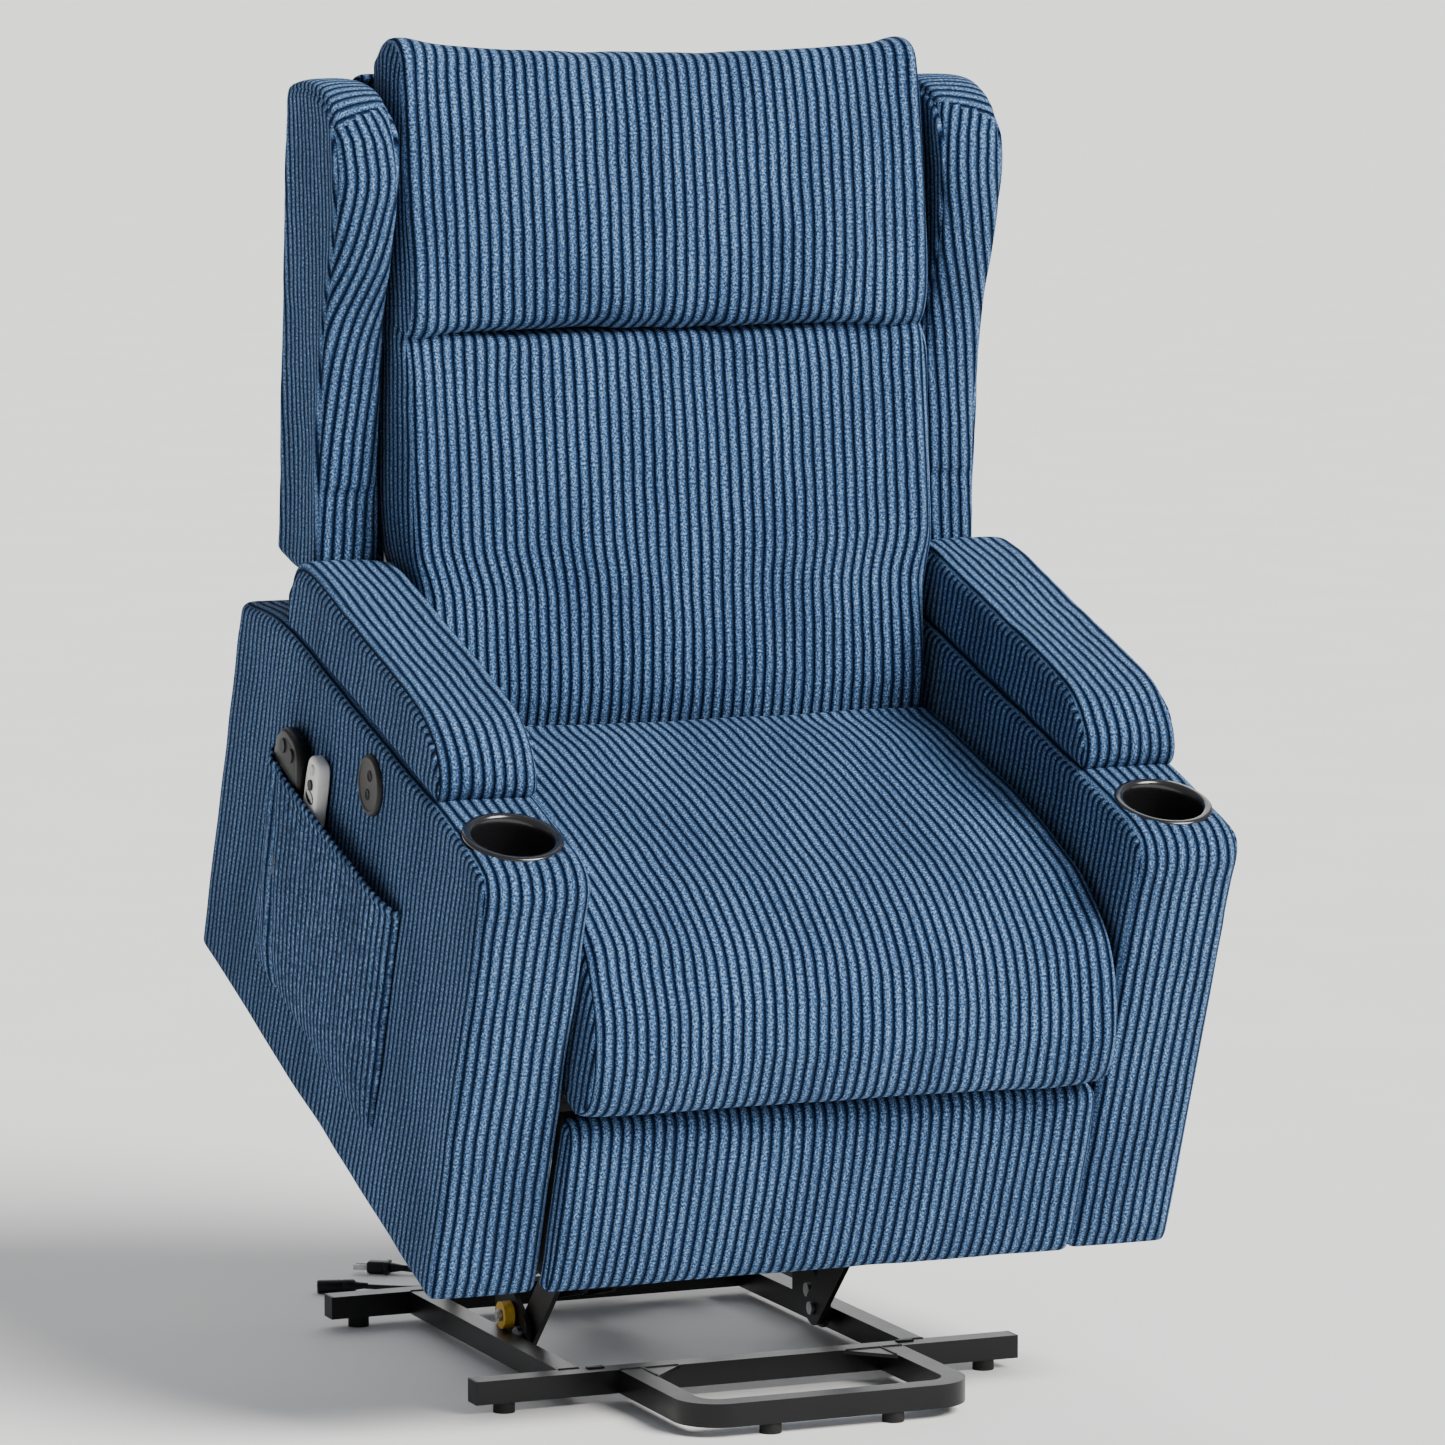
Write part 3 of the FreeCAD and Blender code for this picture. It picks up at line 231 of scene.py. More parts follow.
def woven(name, colour, pitch):
    """A plain weave for straps and dust cloth."""
    n = Nodes(name)
    parts = n.add("ShaderNodeSeparateXYZ")
    n.feed(parts.inputs[0], n.place())
    threads = []
    for axis in ("X", "Y"):
        wave = n.math("SINE", n.math("MULTIPLY", parts.outputs[axis], math.tau / pitch))
        threads.append(n.math("ABSOLUTE", wave))
    weave = n.math("MULTIPLY", threads[0], threads[1])
    slubs = n.noise(n.place(), 400.0, 3.0)
    tone = n.ramp(n.math("ADD", n.math("MULTIPLY", weave, 0.6), n.math("MULTIPLY", slubs, 0.4)),
                  [(0.2, shade(colour, 0.45)), (0.8, shade(colour, 1.4))])
    return n.set(Base_Color=tone, Roughness=0.9, Normal=n.bump(weave, 0.0008, 0.9))


CLOTH = corduroy("corduroy_blue")
STEEL = grained("powder_coat_black", (0.0040, 0.0040, 0.0045), 0.32, grain=1100.0, worn=0.22)
PLASTIC = grained("plastic_black", (0.006, 0.006, 0.007), 0.46, grain=1500.0, depth=0.0003)
RUBBER = grained("rubber_black", (0.007, 0.007, 0.007), 0.72, grain=900.0, depth=0.0003, worn=0.3)
SHEATH = grained("lead_sheath", (0.018, 0.018, 0.019), 0.50, grain=500.0, depth=0.0001)
YELLOW = grained("roller_yellow", (0.66, 0.40, 0.03), 0.42, grain=600.0, worn=0.2, patch=120.0)
BRIGHT = brushed_metal("zinc_plate", (0.62, 0.62, 0.61), 0.34)
WOOD = plywood("plywood")
STRAP = woven("strap_weave", (0.012, 0.012, 0.013), 0.004)
CUP = grained("cup_gloss", (0.008, 0.008, 0.009), 0.16, grain=300.0, depth=0.00002, worn=0.05, coat=0.8)
PORT = grained("port_grey", (0.0085, 0.0075, 0.0075), 0.50, grain=1300.0)
CHARCOAL = grained("handset_charcoal", (0.003, 0.003, 0.0035), 0.40, grain=1500.0)
FACE = grained("handset_face", (0.022, 0.026, 0.023), 0.50, grain=1400.0)
WHITE = grained("remote_white", (0.66, 0.66, 0.64), 0.38, grain=1500.0, depth=0.0001, worn=0.04, coat=0.2)
KEY_DARK = grained("key_dark", (0.013, 0.014, 0.016), 0.55, grain=1200.0)
KEY_LIGHT = grained("key_light", (0.48, 0.49, 0.48), 0.6, grain=1200.0)
LENS = grained("lens_black", (0.004, 0.004, 0.005), 0.10, grain=200.0, depth=0.00001, coat=1.0)


def paint(obj, material):
    """Give every material slot of an object the one material."""
    if not obj.material_slots:
        obj.data.materials.append(material)
    for slot in obj.material_slots:
        slot.link = "OBJECT"
        slot.material = material


def coated(obj, material):
    obj.data.materials.append(material)
    return obj


def belongs(obj, body, slot, *nodes):
    """Give a piece its body and hide the CAD nodes that it replaces; the slot argument is not used."""
    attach(obj, body)
    if nodes:
        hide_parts(*nodes)


# ---- mesh helpers ----
def link(obj):
    bpy.context.scene.collection.objects.link(obj)
    return obj


def mesh_object(name, verts, faces):
    mesh = bpy.data.meshes.new(name)
    mesh.from_pydata([tuple(v) for v in verts], [], faces)
    mesh.polygons.foreach_set("use_smooth", [True] * len(mesh.polygons))
    mesh.update()
    return link(bpy.data.objects.new(name, mesh))


def modified(obj, kind, **values):
    modifier = obj.modifiers.new(kind.lower(), kind)
    for key, value in values.items():
        setattr(modifier, key, value)
    return modifier


def spline_points(controls, count):
    """count + 1 evenly spaced points on a smooth curve through the control points."""
    controls = [np.array(c, float) for c in controls]
    if len(controls) == 2:
        return [controls[0] + (controls[1] - controls[0]) * i / count for i in range(count + 1)]
    padded = [2 * controls[0] - controls[1]] + controls + [2 * controls[-1] - controls[-2]]
    dense = []
    for a, b, c, d in zip(padded, padded[1:], padded[2:], padded[3:]):
        for i in range(24):
            t = i / 24
            dense.append(0.5 * (2 * b + (c - a) * t + (2 * a - 5 * b + 4 * c - d) * t * t
                                + (3 * b - a - 3 * c + d) * t ** 3))
    dense.append(controls[-1])
    dense = np.array(dense)
    run = np.concatenate([[0], np.cumsum(np.linalg.norm(np.diff(dense, axis=0), axis=1))])
    wanted = np.linspace(0, run[-1], count + 1)
    return [np.array([np.interp(w, run, dense[:, k]) for k in range(dense.shape[1])]) for w in wanted]


def oval(y0, y1, z0, z1, power, count=64):
    """A rounded outline that fills the box: power 2 is an ellipse, more is squarer."""
    points = []
    for k in range(count):
        angle = math.tau * k / count
        c, s = math.cos(angle), math.sin(angle)
        y = (y0 + y1) / 2 + (y1 - y0) / 2 * math.copysign(abs(c) ** (2 / power), c)
        z = (z0 + z1) / 2 + (z1 - z0) / 2 * math.copysign(abs(s) ** (2 / power), s)
        points.append((y, z))
    return points


def unit(t):
    return min(1.0, max(0.0, t))


def ease(t):
    """0 to 1 with a level start and end."""
    return unit(t) ** 2 * (3 - 2 * unit(t))


def neighbour_mean(values, edges):
    """Each row's average over the rows that its edges reach."""
    total = np.zeros_like(values)
    np.add.at(total, edges[:, 0], values[edges[:, 1]])
    np.add.at(total, edges[:, 1], values[edges[:, 0]])
    return total / np.bincount(edges.ravel(), minlength=len(values))[:, None]


def ring_faces(rings, around, closed=False):
    """Quads between rings of points that are numbered one ring after another."""
    faces = []
    for i in range(rings if closed else rings - 1):
        here, after = i * around, (i + 1) % rings * around
        for k in range(around):
            m = (k + 1) % around
            faces.append((here + k, here + m, after + m, after + k))
    return faces


def lay_ribs(obj, places):
    """Keep where each face corner lies on the cloth before it was sewn, in millimetres."""
    values = np.array(places, float) * MM
    obj.data.attributes.new("wale", "FLOAT_VECTOR", "CORNER").data.foreach_set("vector", values.ravel())


def along_band(x, a, b, run):
    """The plain band: ribs that follow the outline."""
    return (x, run, 0.0)


def length_of(controls):
    points = np.array(spline_points(controls, 60))
    return float(np.linalg.norm(np.diff(points, axis=0), axis=1).sum())


class Soft:
    """A box-shaped soft piece: an outline of four sides swept across X, with a panel at each end.

    Its points are (x, a, b) in millimetres; place turns them into the part's frame. The band round
    the outline has ribs that follow it, and the end panels have ribs across a (or b)."""

    def __init__(self, name, sides, x0, x1, place, ribs="a", step=STEP, lay=None, shape_x=None):
        self.name, self.place = name, place
        long_count = max(3, round(max(length_of(sides[0]), length_of(sides[2])) / step))
        short_count = max(2, round(max(length_of(sides[1]), length_of(sides[3])) / step))
        curves = [spline_points(side, n) for side, n in zip(sides, (long_count, short_count) * 2)]
        ring = [p for curve in curves for p in curve[:-1]]
        count = self.ring_count = len(ring)
        across = self.stations = max(3, round((x1 - x0) / step))
        xs = [x0 + (x1 - x0) * i / across for i in range(across + 1)]
        arc = [0.0]
        for p, q in zip(ring, ring[1:] + ring[:1]):
            arc.append(arc[-1] + float(np.linalg.norm(q - p)))
        verts, self.where = [], []
        for i, x in enumerate(xs):
            for k, p in enumerate(ring):
                verts.append((x, p[0], p[1]))
                self.where.append(("band", i / across, arc[k] / arc[-1]))
        faces, wales = [], []
        for i in range(across):
            for k in range(count):
                m = (k + 1) % count
                faces.append((i * count + k, (i + 1) * count + k, (i + 1) * count + m, i * count + m))
                corners = [(xs[i], arc[k], k), (xs[i + 1], arc[k], k), (xs[i + 1], arc[k + 1], m),
                           (xs[i], arc[k + 1], m)]
                wale_at = lay(xs[i], *ring[k], arc[k]) if lay else along_band
                wales.append([wale_at(x, *ring[j], run) for x, run, j in corners])
        over, along = (1, 2) if ribs == "a" else (2, 1)
        for end, i in ((-1, 0), (1, across)):
            grid = self.cap_grid(curves, xs[i], i * count, verts)
            for u in range(long_count):
                for v in range(short_count):
                    quad = (grid[u, v], grid[u + 1, v], grid[u + 1, v + 1], grid[u, v + 1])
                    faces.append(quad if end > 0 else quad[::-1])
                    corners = [verts[q] for q in faces[-1]]
                    wales.append([(c[over] + 3.0, c[along], 50.0 * end) for c in corners])
        self.verts = np.array(verts, float)
        self.faces, self.wales = faces, wales
        self.start = self.verts.copy()
        self.edges = self.find_edges()
        if shape_x:
            self.verts[:, 0] = [shape_x(*v) for v in self.verts]

    def cap_grid(self, curves, x, first, verts):
        """Vertex numbers of an end panel: the ring round it, and points filled in between."""
        a, e, b, f = curves
        n_long, n_short = len(a) - 1, len(e) - 1
        rim = ([(u, 0) for u in range(n_long)] + [(n_long, v) for v in range(n_short)]
               + [(u, n_short) for u in range(n_long, 0, -1)] + [(0, v) for v in range(n_short, 0, -1)])
        grid = {spot: first + k for k, spot in enumerate(rim)}
        for u in range(1, n_long):
            for v in range(1, n_short):
                s, t = u / n_long, v / n_short
                p = ((1 - t) * a[u] + t * b[n_long - u] + (1 - s) * f[n_short - v] + s * e[v]
                     - ((1 - s) * (1 - t) * a[0] + s * (1 - t) * a[-1] + s * t * b[0] + (1 - s) * t * b[-1]))
                grid[u, v] = len(verts)
                verts.append((x, p[0], p[1]))
                self.where.append(("cap", s, t))
        return grid

    def find_edges(self):
        edges = set()
        for face in self.faces:
            for p, q in zip(face, face[1:] + face[:1]):
                edges.add((min(p, q), max(p, q)))
        return np.array(sorted(edges))

    def relax(self, times, weight=lambda x, a, b: 1.0):
        """Average each point with its neighbours, which rounds the edges."""
        share = np.array([weight(*v) for v in self.start])[:, None]
        for _ in range(times):
            self.verts += (neighbour_mean(self.verts, self.edges) - self.verts) * 0.5 * share
        return self

    def normals(self):
        """Outward direction at each point, in the piece's own frame."""
        result = np.zeros_like(self.verts)
        quads = np.array(self.faces)
        p = self.verts[quads]
        flat = np.cross(p[:, 2] - p[:, 0], p[:, 3] - p[:, 1])
        for k in range(4):
            np.add.at(result, quads[:, k], flat)
        size = np.linalg.norm(result, axis=1, keepdims=True)
        result = result / np.maximum(size, 1e-9)
        middle = self.verts.mean(axis=0)
        if np.sum(result * (self.verts - middle)) < 0:
            result = -result
        return result

    def push(self, height):
        """Move each point outward by height(x, a, b, kind, s, t) millimetres."""
        amounts = [height(*v, *w) for v, w in zip(self.start, self.where)]
        self.verts += self.normals() * np.array(amounts)[:, None]
        return self

    def rumple(self, amount, size, seed):
        """Slow uneven swells, in millimetres."""
        shift = Vector((seed * 7.3, seed * 3.1, seed * 5.7))
        values = [noise.fractal(Vector(v) / size + shift, 0.9, 2.0, 3) for v in self.start]
        self.verts += self.normals() * (np.array(values) * amount)[:, None]
        return self

    def seam_points(self):
        """Points on the two edges between the band and the end panels."""
        last = self.stations * self.ring_count
        return list(range(self.ring_count)) + list(range(last, last + self.ring_count))

    def build(self):
        obj = mesh_object(self.name, [self.place(*v) for v in self.verts], self.faces)
        lay_ribs(obj, [corner for wale in self.wales for corner in wale])
        paint(obj, CLOTH)
        return obj


def reshape(obj, work):
    """Open an object's mesh for bmesh work, and write it back."""
    shape = bmesh.new()
    shape.from_mesh(obj.data)
    work(shape)
    shape.to_mesh(obj.data)
    shape.free()


def outward(obj):
    """Turn every face to look outward."""
    reshape(obj, lambda shape: bmesh.ops.recalc_face_normals(shape, faces=shape.faces))


STIFFNESS = 18.0
plumped = []


def cover(soft, seam_weight, pressure, cap, still=None):
    """Build a soft piece as cloth under pressure, run later with the others. It is held a little at
    its seams, and wholly where it is still. cap is the furthest a point may move, mm."""
    obj = soft.build()
    held = obj.vertex_groups.new(name="held")
    held.add(soft.seam_points(), seam_weight, "REPLACE")
    if still:
        held.add([k for k, v in enumerate(soft.start) if still(*v)], 1.0, "REPLACE")
    cloth = modified(obj, "CLOTH")
    for key, value in dict(quality=4, mass=0.4, use_pressure=True, uniform_pressure_force=pressure,
                           tension_stiffness=STIFFNESS, compression_stiffness=STIFFNESS,
                           shear_stiffness=STIFFNESS / 2, bending_stiffness=1.2, air_damping=3.0,
                           vertex_group_mass="held", pin_stiffness=1.0).items():
        setattr(cloth.settings, key, value)
    cloth.settings.effector_weights.gravity = 0.0
    cloth.collision_settings.use_collision = False
    plumped.append((obj, cap))
    return obj, soft


def points_of(mesh):
    flat = np.empty(len(mesh.vertices) * 3)
    mesh.vertices.foreach_get("co", flat)
    return flat.reshape(-1, 3)


def evened(moves, mesh, times=15):
    """Average each point's move with its neighbours', which takes stray creases out."""
    edges = np.empty(len(mesh.edges) * 2, int)
    mesh.edges.foreach_get("vertices", edges)
    edges = edges.reshape(-1, 2)
    for _ in range(times):
        moves = 0.5 * (moves + neighbour_mean(moves, edges))
    return moves


def run_cloth():
    """Step every waiting cloth together, cap the moves, and keep the result as the mesh."""
    starts = [points_of(obj.data) for obj, _ in plumped]
    scene = bpy.context.scene
    scene.frame_start, scene.frame_end = 1, 20
    for number in range(1, 21):
        scene.frame_set(number)
    graph = bpy.context.evaluated_depsgraph_get()
    for (obj, cap), start in zip(plumped, starts):
        moved = points_of(obj.evaluated_get(graph).data) - start
        size = np.linalg.norm(moved, axis=1, keepdims=True)
        limit = cap * MM
        eased = limit * np.tanh(size / limit)
        moved = evened(moved / np.maximum(size, 1e-9) * eased, obj.data)
        obj.data.vertices.foreach_set("co", (start + moved).ravel())
    for obj, _ in plumped:
        obj.modifiers.clear()
        obj.data.update()
    bpy.context.scene.frame_set(1)


def sink(obj, points, depth):
    """Pull points inward along their normals, which makes a seam's groove."""
    mesh = obj.data
    directions = [v.normal.copy() for v in mesh.vertices]
    for k in points:
        mesh.vertices[k].co -= directions[k] * depth * MM
    mesh.update()


def finish_soft(obj, body, node):
    outward(obj)
    modified(obj, "SUBSURF", levels=1, render_levels=1)
    belongs(obj, body, "corduroy", node)


def dome(t):
    """0 at both ends, 1 in the middle."""
    return max(0.0, 1.0 - (2 * t - 1) ** 2)


def bell(t):
    """The same, but steep near the ends."""
    return dome(t) ** 0.5


def near(value, centre, width):
    return math.exp(-((value - centre) / width) ** 2)


# ---- leads ----
MAINS_TO_COIL = [(40, 567, 50), (40, 591, 43), (45, 610, 25), (57, 622, 10), (77, 628, 3), (98.9, 628, 3)]
COIL_TO_PLUG = [(123.5, 710.3, 9), (96, 716, 6), (67, 721, 3), (36, 722, 3), (5, 720, 3), (-26, 722, 3),
                (-56, 731, 3), (-85, 745, 3), (-111, 759, 5), (-136, 776, 8)]
SOCKET_LEAD = [(-10, 567, 50), (-10, 590, 45), (-13, 612, 28), (-22, 632, 10), (-38, 646, 3), (-62, 656, 3),
               (-90, 662, 3), (-120, 668, 3), (-151, 674, 3), (-184, 681, 5), (-216, 690, 8)]
LEAD_DIAMETER = 6.0
COIL_X, COIL_Y = 116.0, 668.0


def coil_points():
    """Two neat layers of turns: inward on the floor, then outward on top of them."""
    first, last, turns = math.radians(-113), math.radians(80), 6
    total = last - first + turns * math.tau
    count = 14 * (turns + 1)
    points = []
    for i in range(1, count):
        t = i / count
        radius = 43.0 - 36.0 * t if t < 0.5 else 25.0 + 36.0 * (t - 0.5)
        level = 3.0 + 6.0 * unit((t - 0.48) / 0.06)
        angle = first + total * t
        points.append((COIL_X + radius * math.cos(angle), COIL_Y + radius * math.sin(angle), level))
    return points


def lead_curve(name, route):
    curve = bpy.data.curves.new(name, "CURVE")
    curve.dimensions = "3D"
    curve.bevel_depth = LEAD_DIAMETER / 2 * MM
    curve.bevel_resolution = 4
    curve.resolution_u = 6
    curve.use_fill_caps = True
    spline = curve.splines.new("NURBS")
    spline.points.add(len(route) - 1)
    for point, place in zip(spline.points, route):
        point.co = (*base(*place), 1.0)
    spline.order_u = 3
    spline.use_endpoint_u = True
    obj = link(bpy.data.objects.new(name, curve))
    paint(obj, SHEATH)
    belongs(obj, "base", "lead_sheath")
    return obj


def lathe(name, profile, start, axis, segments=32, caps=True):
    """A turned piece: (distance along, radius) pairs in millimetres, from start along axis."""
    axis = Vector(axis).normalized()
    side = axis.orthogonal().normalized()
    other = axis.cross(side)
    verts = []
    for along, radius in profile:
        for k in range(segments):
            angle = math.tau * k / segments
            spoke = side * math.cos(angle) + other * math.sin(angle)
            verts.append(start + (axis * along + spoke * radius) * MM)
    faces = ring_faces(len(profile), segments)
    if caps:
        faces.append(tuple(range(segments))[::-1])
        last = (len(profile) - 1) * segments
        faces.append(tuple(range(last, last + segments)))
    obj = mesh_object(name, verts, faces)
    outward(obj)
    return obj


def rounded_block(name, size, radius, place):
    """A block with rounded edges. place turns its local millimetres into the part's frame."""
    shape = bmesh.new()
    bmesh.ops.create_cube(shape, size=1.0)
    for vert in shape.verts:
        vert.co = Vector((vert.co.x * size[0], vert.co.y * size[1], vert.co.z * size[2]))
    bmesh.ops.bevel(shape, geom=shape.edges[:], offset=radius, segments=3, affect="EDGES", profile=0.5)
    for vert in shape.verts:
        vert.co = place(*vert.co)
    mesh = bpy.data.meshes.new(name)
    shape.to_mesh(mesh)
    shape.free()
    mesh.polygons.foreach_set("use_smooth", [True] * len(mesh.polygons))
    obj = link(bpy.data.objects.new(name, mesh))
    outward(obj)
    return obj


def plug_place(before, end):
    """Local (along, across, up) millimetres to the part's frame, for a piece on the end of a lead."""
    heading = math.atan2(end[1] - before[1], end[0] - before[0])
    cos, sin = math.cos(heading), math.sin(heading)

    def place(along, across, up):
        return base(end[0] + along * cos - across * sin, end[1] + along * sin + across * cos, end[2] + up)
    return place


def join(name, objects):
    """Merge objects into one mesh piece, materials kept."""
    bpy.ops.object.select_all(action="DESELECT")
    for obj in objects:
        obj.select_set(True)
    bpy.context.view_layer.objects.active = objects[0]
    bpy.ops.object.join()
    objects[0].name = name
    objects[0].data.name = name
    return objects[0]


def make_tie():
    """A flat strap round one side of the put-away coil."""
    count, half = 40, 6.0
    outer = oval(20.0, 49.0, 0.0, 13.6, 4.0, count)
    inner = oval(21.2, 47.8, 1.0, 12.6, 4.0, count)
    corners = ((outer, -half), (outer, half), (inner, half), (inner, -half))
    verts = [base(COIL_X + ring[k][0], COIL_Y + across, ring[k][1]) for k in range(count)
             for ring, across in corners]
    tie = mesh_object("coil_tie", verts, ring_faces(count, 4, closed=True))
    outward(tie)
    modified(tie, "BEVEL", width=0.3 * MM, segments=2, limit_method="ANGLE", angle_limit=math.radians(50))
    paint(tie, STRAP)
    belongs(tie, "base", "black_plastic")
    return tie


def make_leads():
    mains = lead_curve("mains_cord", MAINS_TO_COIL + coil_points() + COIL_TO_PLUG)
    socket = lead_curve("socket_cord", SOCKET_LEAD)
    local = plug_place(COIL_TO_PLUG[-2], COIL_TO_PLUG[-1])
    body = rounded_block("plug_body", (28, 17, 15), 4, lambda x, y, z: local(x + 20, y, z))
    grip = rounded_block("plug_grip", (6, 23, 15.4), 2.4, lambda x, y, z: local(x + 9, y, z + 0.4))
    neck = lathe("plug_neck", [(-16, 3.1), (-10, 3.6), (-4, 4.6), (2, 5.6), (8, 6.4)], local(0, 0, 0),
                 local(1, 0, 0) - local(0, 0, 0), 20)
    blades = [rounded_block("plug_blade", (17, 1.6, 6.4), 0.5, lambda x, y, z, s=s: local(x + 41.5, y + s, z))
              for s in (-6.35, 6.35)]
    for obj in (body, grip, neck):
        coated(obj, PLASTIC)
    for obj in blades:
        coated(obj, BRIGHT)
    plug = join("plug_piece", [body, grip, neck] + blades)
    belongs(plug, "base", "black_plastic", "mains_plug")
    local = plug_place(SOCKET_LEAD[-2], SOCKET_LEAD[-1])
    profile = [(-14, 3.1), (-6, 4.0), (0, 5.0), (2, 7.4), (4, 8.0), (16, 8.0), (17, 7.5), (18, 8.0),
               (44, 8.0), (46, 7.2), (46, 3.2), (34, 3.0)]
    inline = lathe("inline_socket", profile, local(0, 0, 0), local(1, 0, 0) - local(0, 0, 0), 28)
    belongs(coated(inline, PLASTIC), "base", "black_plastic", "socket_connector")
    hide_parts("mains_lead", "mains_lead_coil")
    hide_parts("socket_lead")
    make_tie()
    relief = []
    for x in (40, -10):
        profile = [(0, 7.0), (3, 7.0), (4, 5.6)]
        for k in range(5):
            profile += [(5 + 4 * k, 5.4 - 0.4 * k), (7 + 4 * k, 5.4 - 0.4 * k), (7.6 + 4 * k, 4.6 - 0.3 * k)]
        profile.append((27, 3.3))
        relief.append(coated(lathe("relief", profile, base(x, 560, 50.6), (0, 1, -0.12), 24), PLASTIC))
    belongs(join("strain_reliefs", relief), "base", "black_plastic", "lead_glands")


make_leads()


# ---- cushions ----
def make_seat():
    top = [(528, 408), (440, 423), (250, 432), (130, 429), (70, 418), (20, 396), (-18, 360), (-39, 318),
           (-47, 274), (-38, 236), (-12, 220)]
    sides = [top, [(-12, 220), (22, 222)], [(22, 222), (60, 248), (462, 250)], [(462, 250), (528, 408)]]
    seat = Soft("seat_cover", sides, -SEAT_HALF, SEAT_HALF, chair)

    def swell(x, y, z, kind, s, t):
        if kind == "cap":
            return 3.0
        if z < 212 or (z < 300 and y > 30):
            return 0.0
        dip = -3.0 * near(x, 20, 120) * near(y, 430, 90)
        return 13.0 * bell((x + SEAT_HALF) / (2 * SEAT_HALF)) * min(1.0, (z - 212) / 84) ** 0.5 + dip
    seat.relax(9).push(swell).rumple(2.4, 130, 1)
    return cover(seat, 0.7, 3.5, 16, lambda x, y, z: z < 252 and y > -10)


def widen(x, up, deep):
    """The back cushions are fuller above the arms, where they press on the wings."""
    return x * (1.0 + 0.050 * ease((up - 138) / 60))


def make_lumbar():
    front = [(446, 54), (445, 26), (430, 4), (398, -6), (330, -10), (240, -15), (150, -23), (80, -29),
             (20, -26), (-30, -6)]
    sides = [front, [(-30, -6), (-50, 30), (-50, 98)], [(-50, 98), (446, 104)], [(446, 104), (446, 54)]]
    piece = Soft("lumbar_cover", sides, -BACK_HALF, BACK_HALF, back, ribs="b", shape_x=widen)

    def swell(x, up, deep, kind, s, t):
        if kind == "cap":
            return 2.0
        if deep > 60:
            return 0.0
        crown = 15.0 * bell((x + BACK_HALF) / (2 * BACK_HALF)) * bell((up + 60) / 500)
        puckers = 2.2 * math.sin(x / 17.0 + 2.0 * math.sin(x / 61)) * near(up, 416, 22)
        dent = -3.5 * near(x, -190, 60) * near(up, 360, 30) - 3.0 * near(x, 60, 80) * near(up, 378, 22)
        return crown + puckers + dent
    piece.relax(7).push(swell).rumple(3.0, 120, 2)
    return cover(piece, 0.7, 3.5, 18, lambda x, up, deep: deep > 80)


def make_head():
    front = [(750, 66), (747, 36), (732, 12), (690, -2), (610, -11), (530, -19), (470, -20), (434, -8),
             (417, 20), (415, 56)]
    sides = [front, [(415, 56), (418, 100)], [(418, 100), (730, 104)], [(730, 104), (750, 66)]]
    piece = Soft("head_cover", sides, -BACK_HALF, BACK_HALF, back, ribs="b", shape_x=widen)

    def swell(x, up, deep, kind, s, t):
        if kind == "cap":
            return 2.0 + 3.0 * near(up, 700, 50)
        if deep > 90:
            return 0.0
        crown = 14.0 * bell((x + BACK_HALF) / (2 * BACK_HALF)) * bell((up - 425) / 330)
        puckers = 2.0 * math.sin(x / 15.0 + 2.4 * math.sin(x / 53)) * near(up, 434, 24)
        ears = 7.0 * near(abs(x), 292, 26) * near(up, 742, 26)
        dent = -3.0 * near(x, 205, 50) * near(up, 470, 26) - 2.5 * near(x, -250, 40) * near(up, 700, 60)
        return crown + puckers + ears + dent
    piece.relax(6).push(swell).rumple(3.0, 120, 3)
    return cover(piece, 0.6, 3.5, 16, lambda x, up, deep: deep > 98)


def make_footrest():
    front = [(-6, 207), (-18, 196), (-23, 150), (-23, 60), (-19, 14), (-6, 1)]
    sides = [front, [(-6, 1), (16, 1)], [(16, 1), (16, 207)], [(16, 207), (-6, 207)]]
    piece = Soft("footrest_cover", sides, -FOOT_HALF, FOOT_HALF, chair)

    def swell(x, y, z, kind, s, t):
        if kind == "cap" or y > 8:
            return 0.0
        return 4.0 * bell((x + SEAT_HALF) / (2 * SEAT_HALF)) * bell(z / 208)
    piece.relax(4).push(swell).rumple(1.6, 110, 4)
    return cover(piece, 0.8, 3.0, 8, lambda x, y, z: y > 10)


def make_pad():
    top = [(670, 504), (665, 530), (646, 549), (596, 560), (530, 563), (400, 568), (300, 572), (238, 568),
           (202, 555)]
    sides = [top, [(202, 555), (178, 538), (165, 518), (169, 499)], [(169, 499), (433, 486), (661, 471)],
             [(661, 471), (670, 504)]]
    piece = Soft("right_pad_cover", sides, ARM_INNER + 3, ARM_OUTER - 3, chair, step=7.0)

    def swell(x, y, z, kind, s, t):
        if kind == "cap":
            return 8.0 * dome(t) * bell(s)
        above = unit((z + 0.075 * y - 524) / 30)
        return 10.0 * bell((x - ARM_INNER) / (ARM_OUTER - ARM_INNER)) * above
    piece.relax(5).push(swell).rumple(2.2, 90, 5)
    return cover(piece, 0.9, 3.0, 9, lambda x, y, z: z < 512 - y * 0.075 and y > 176)


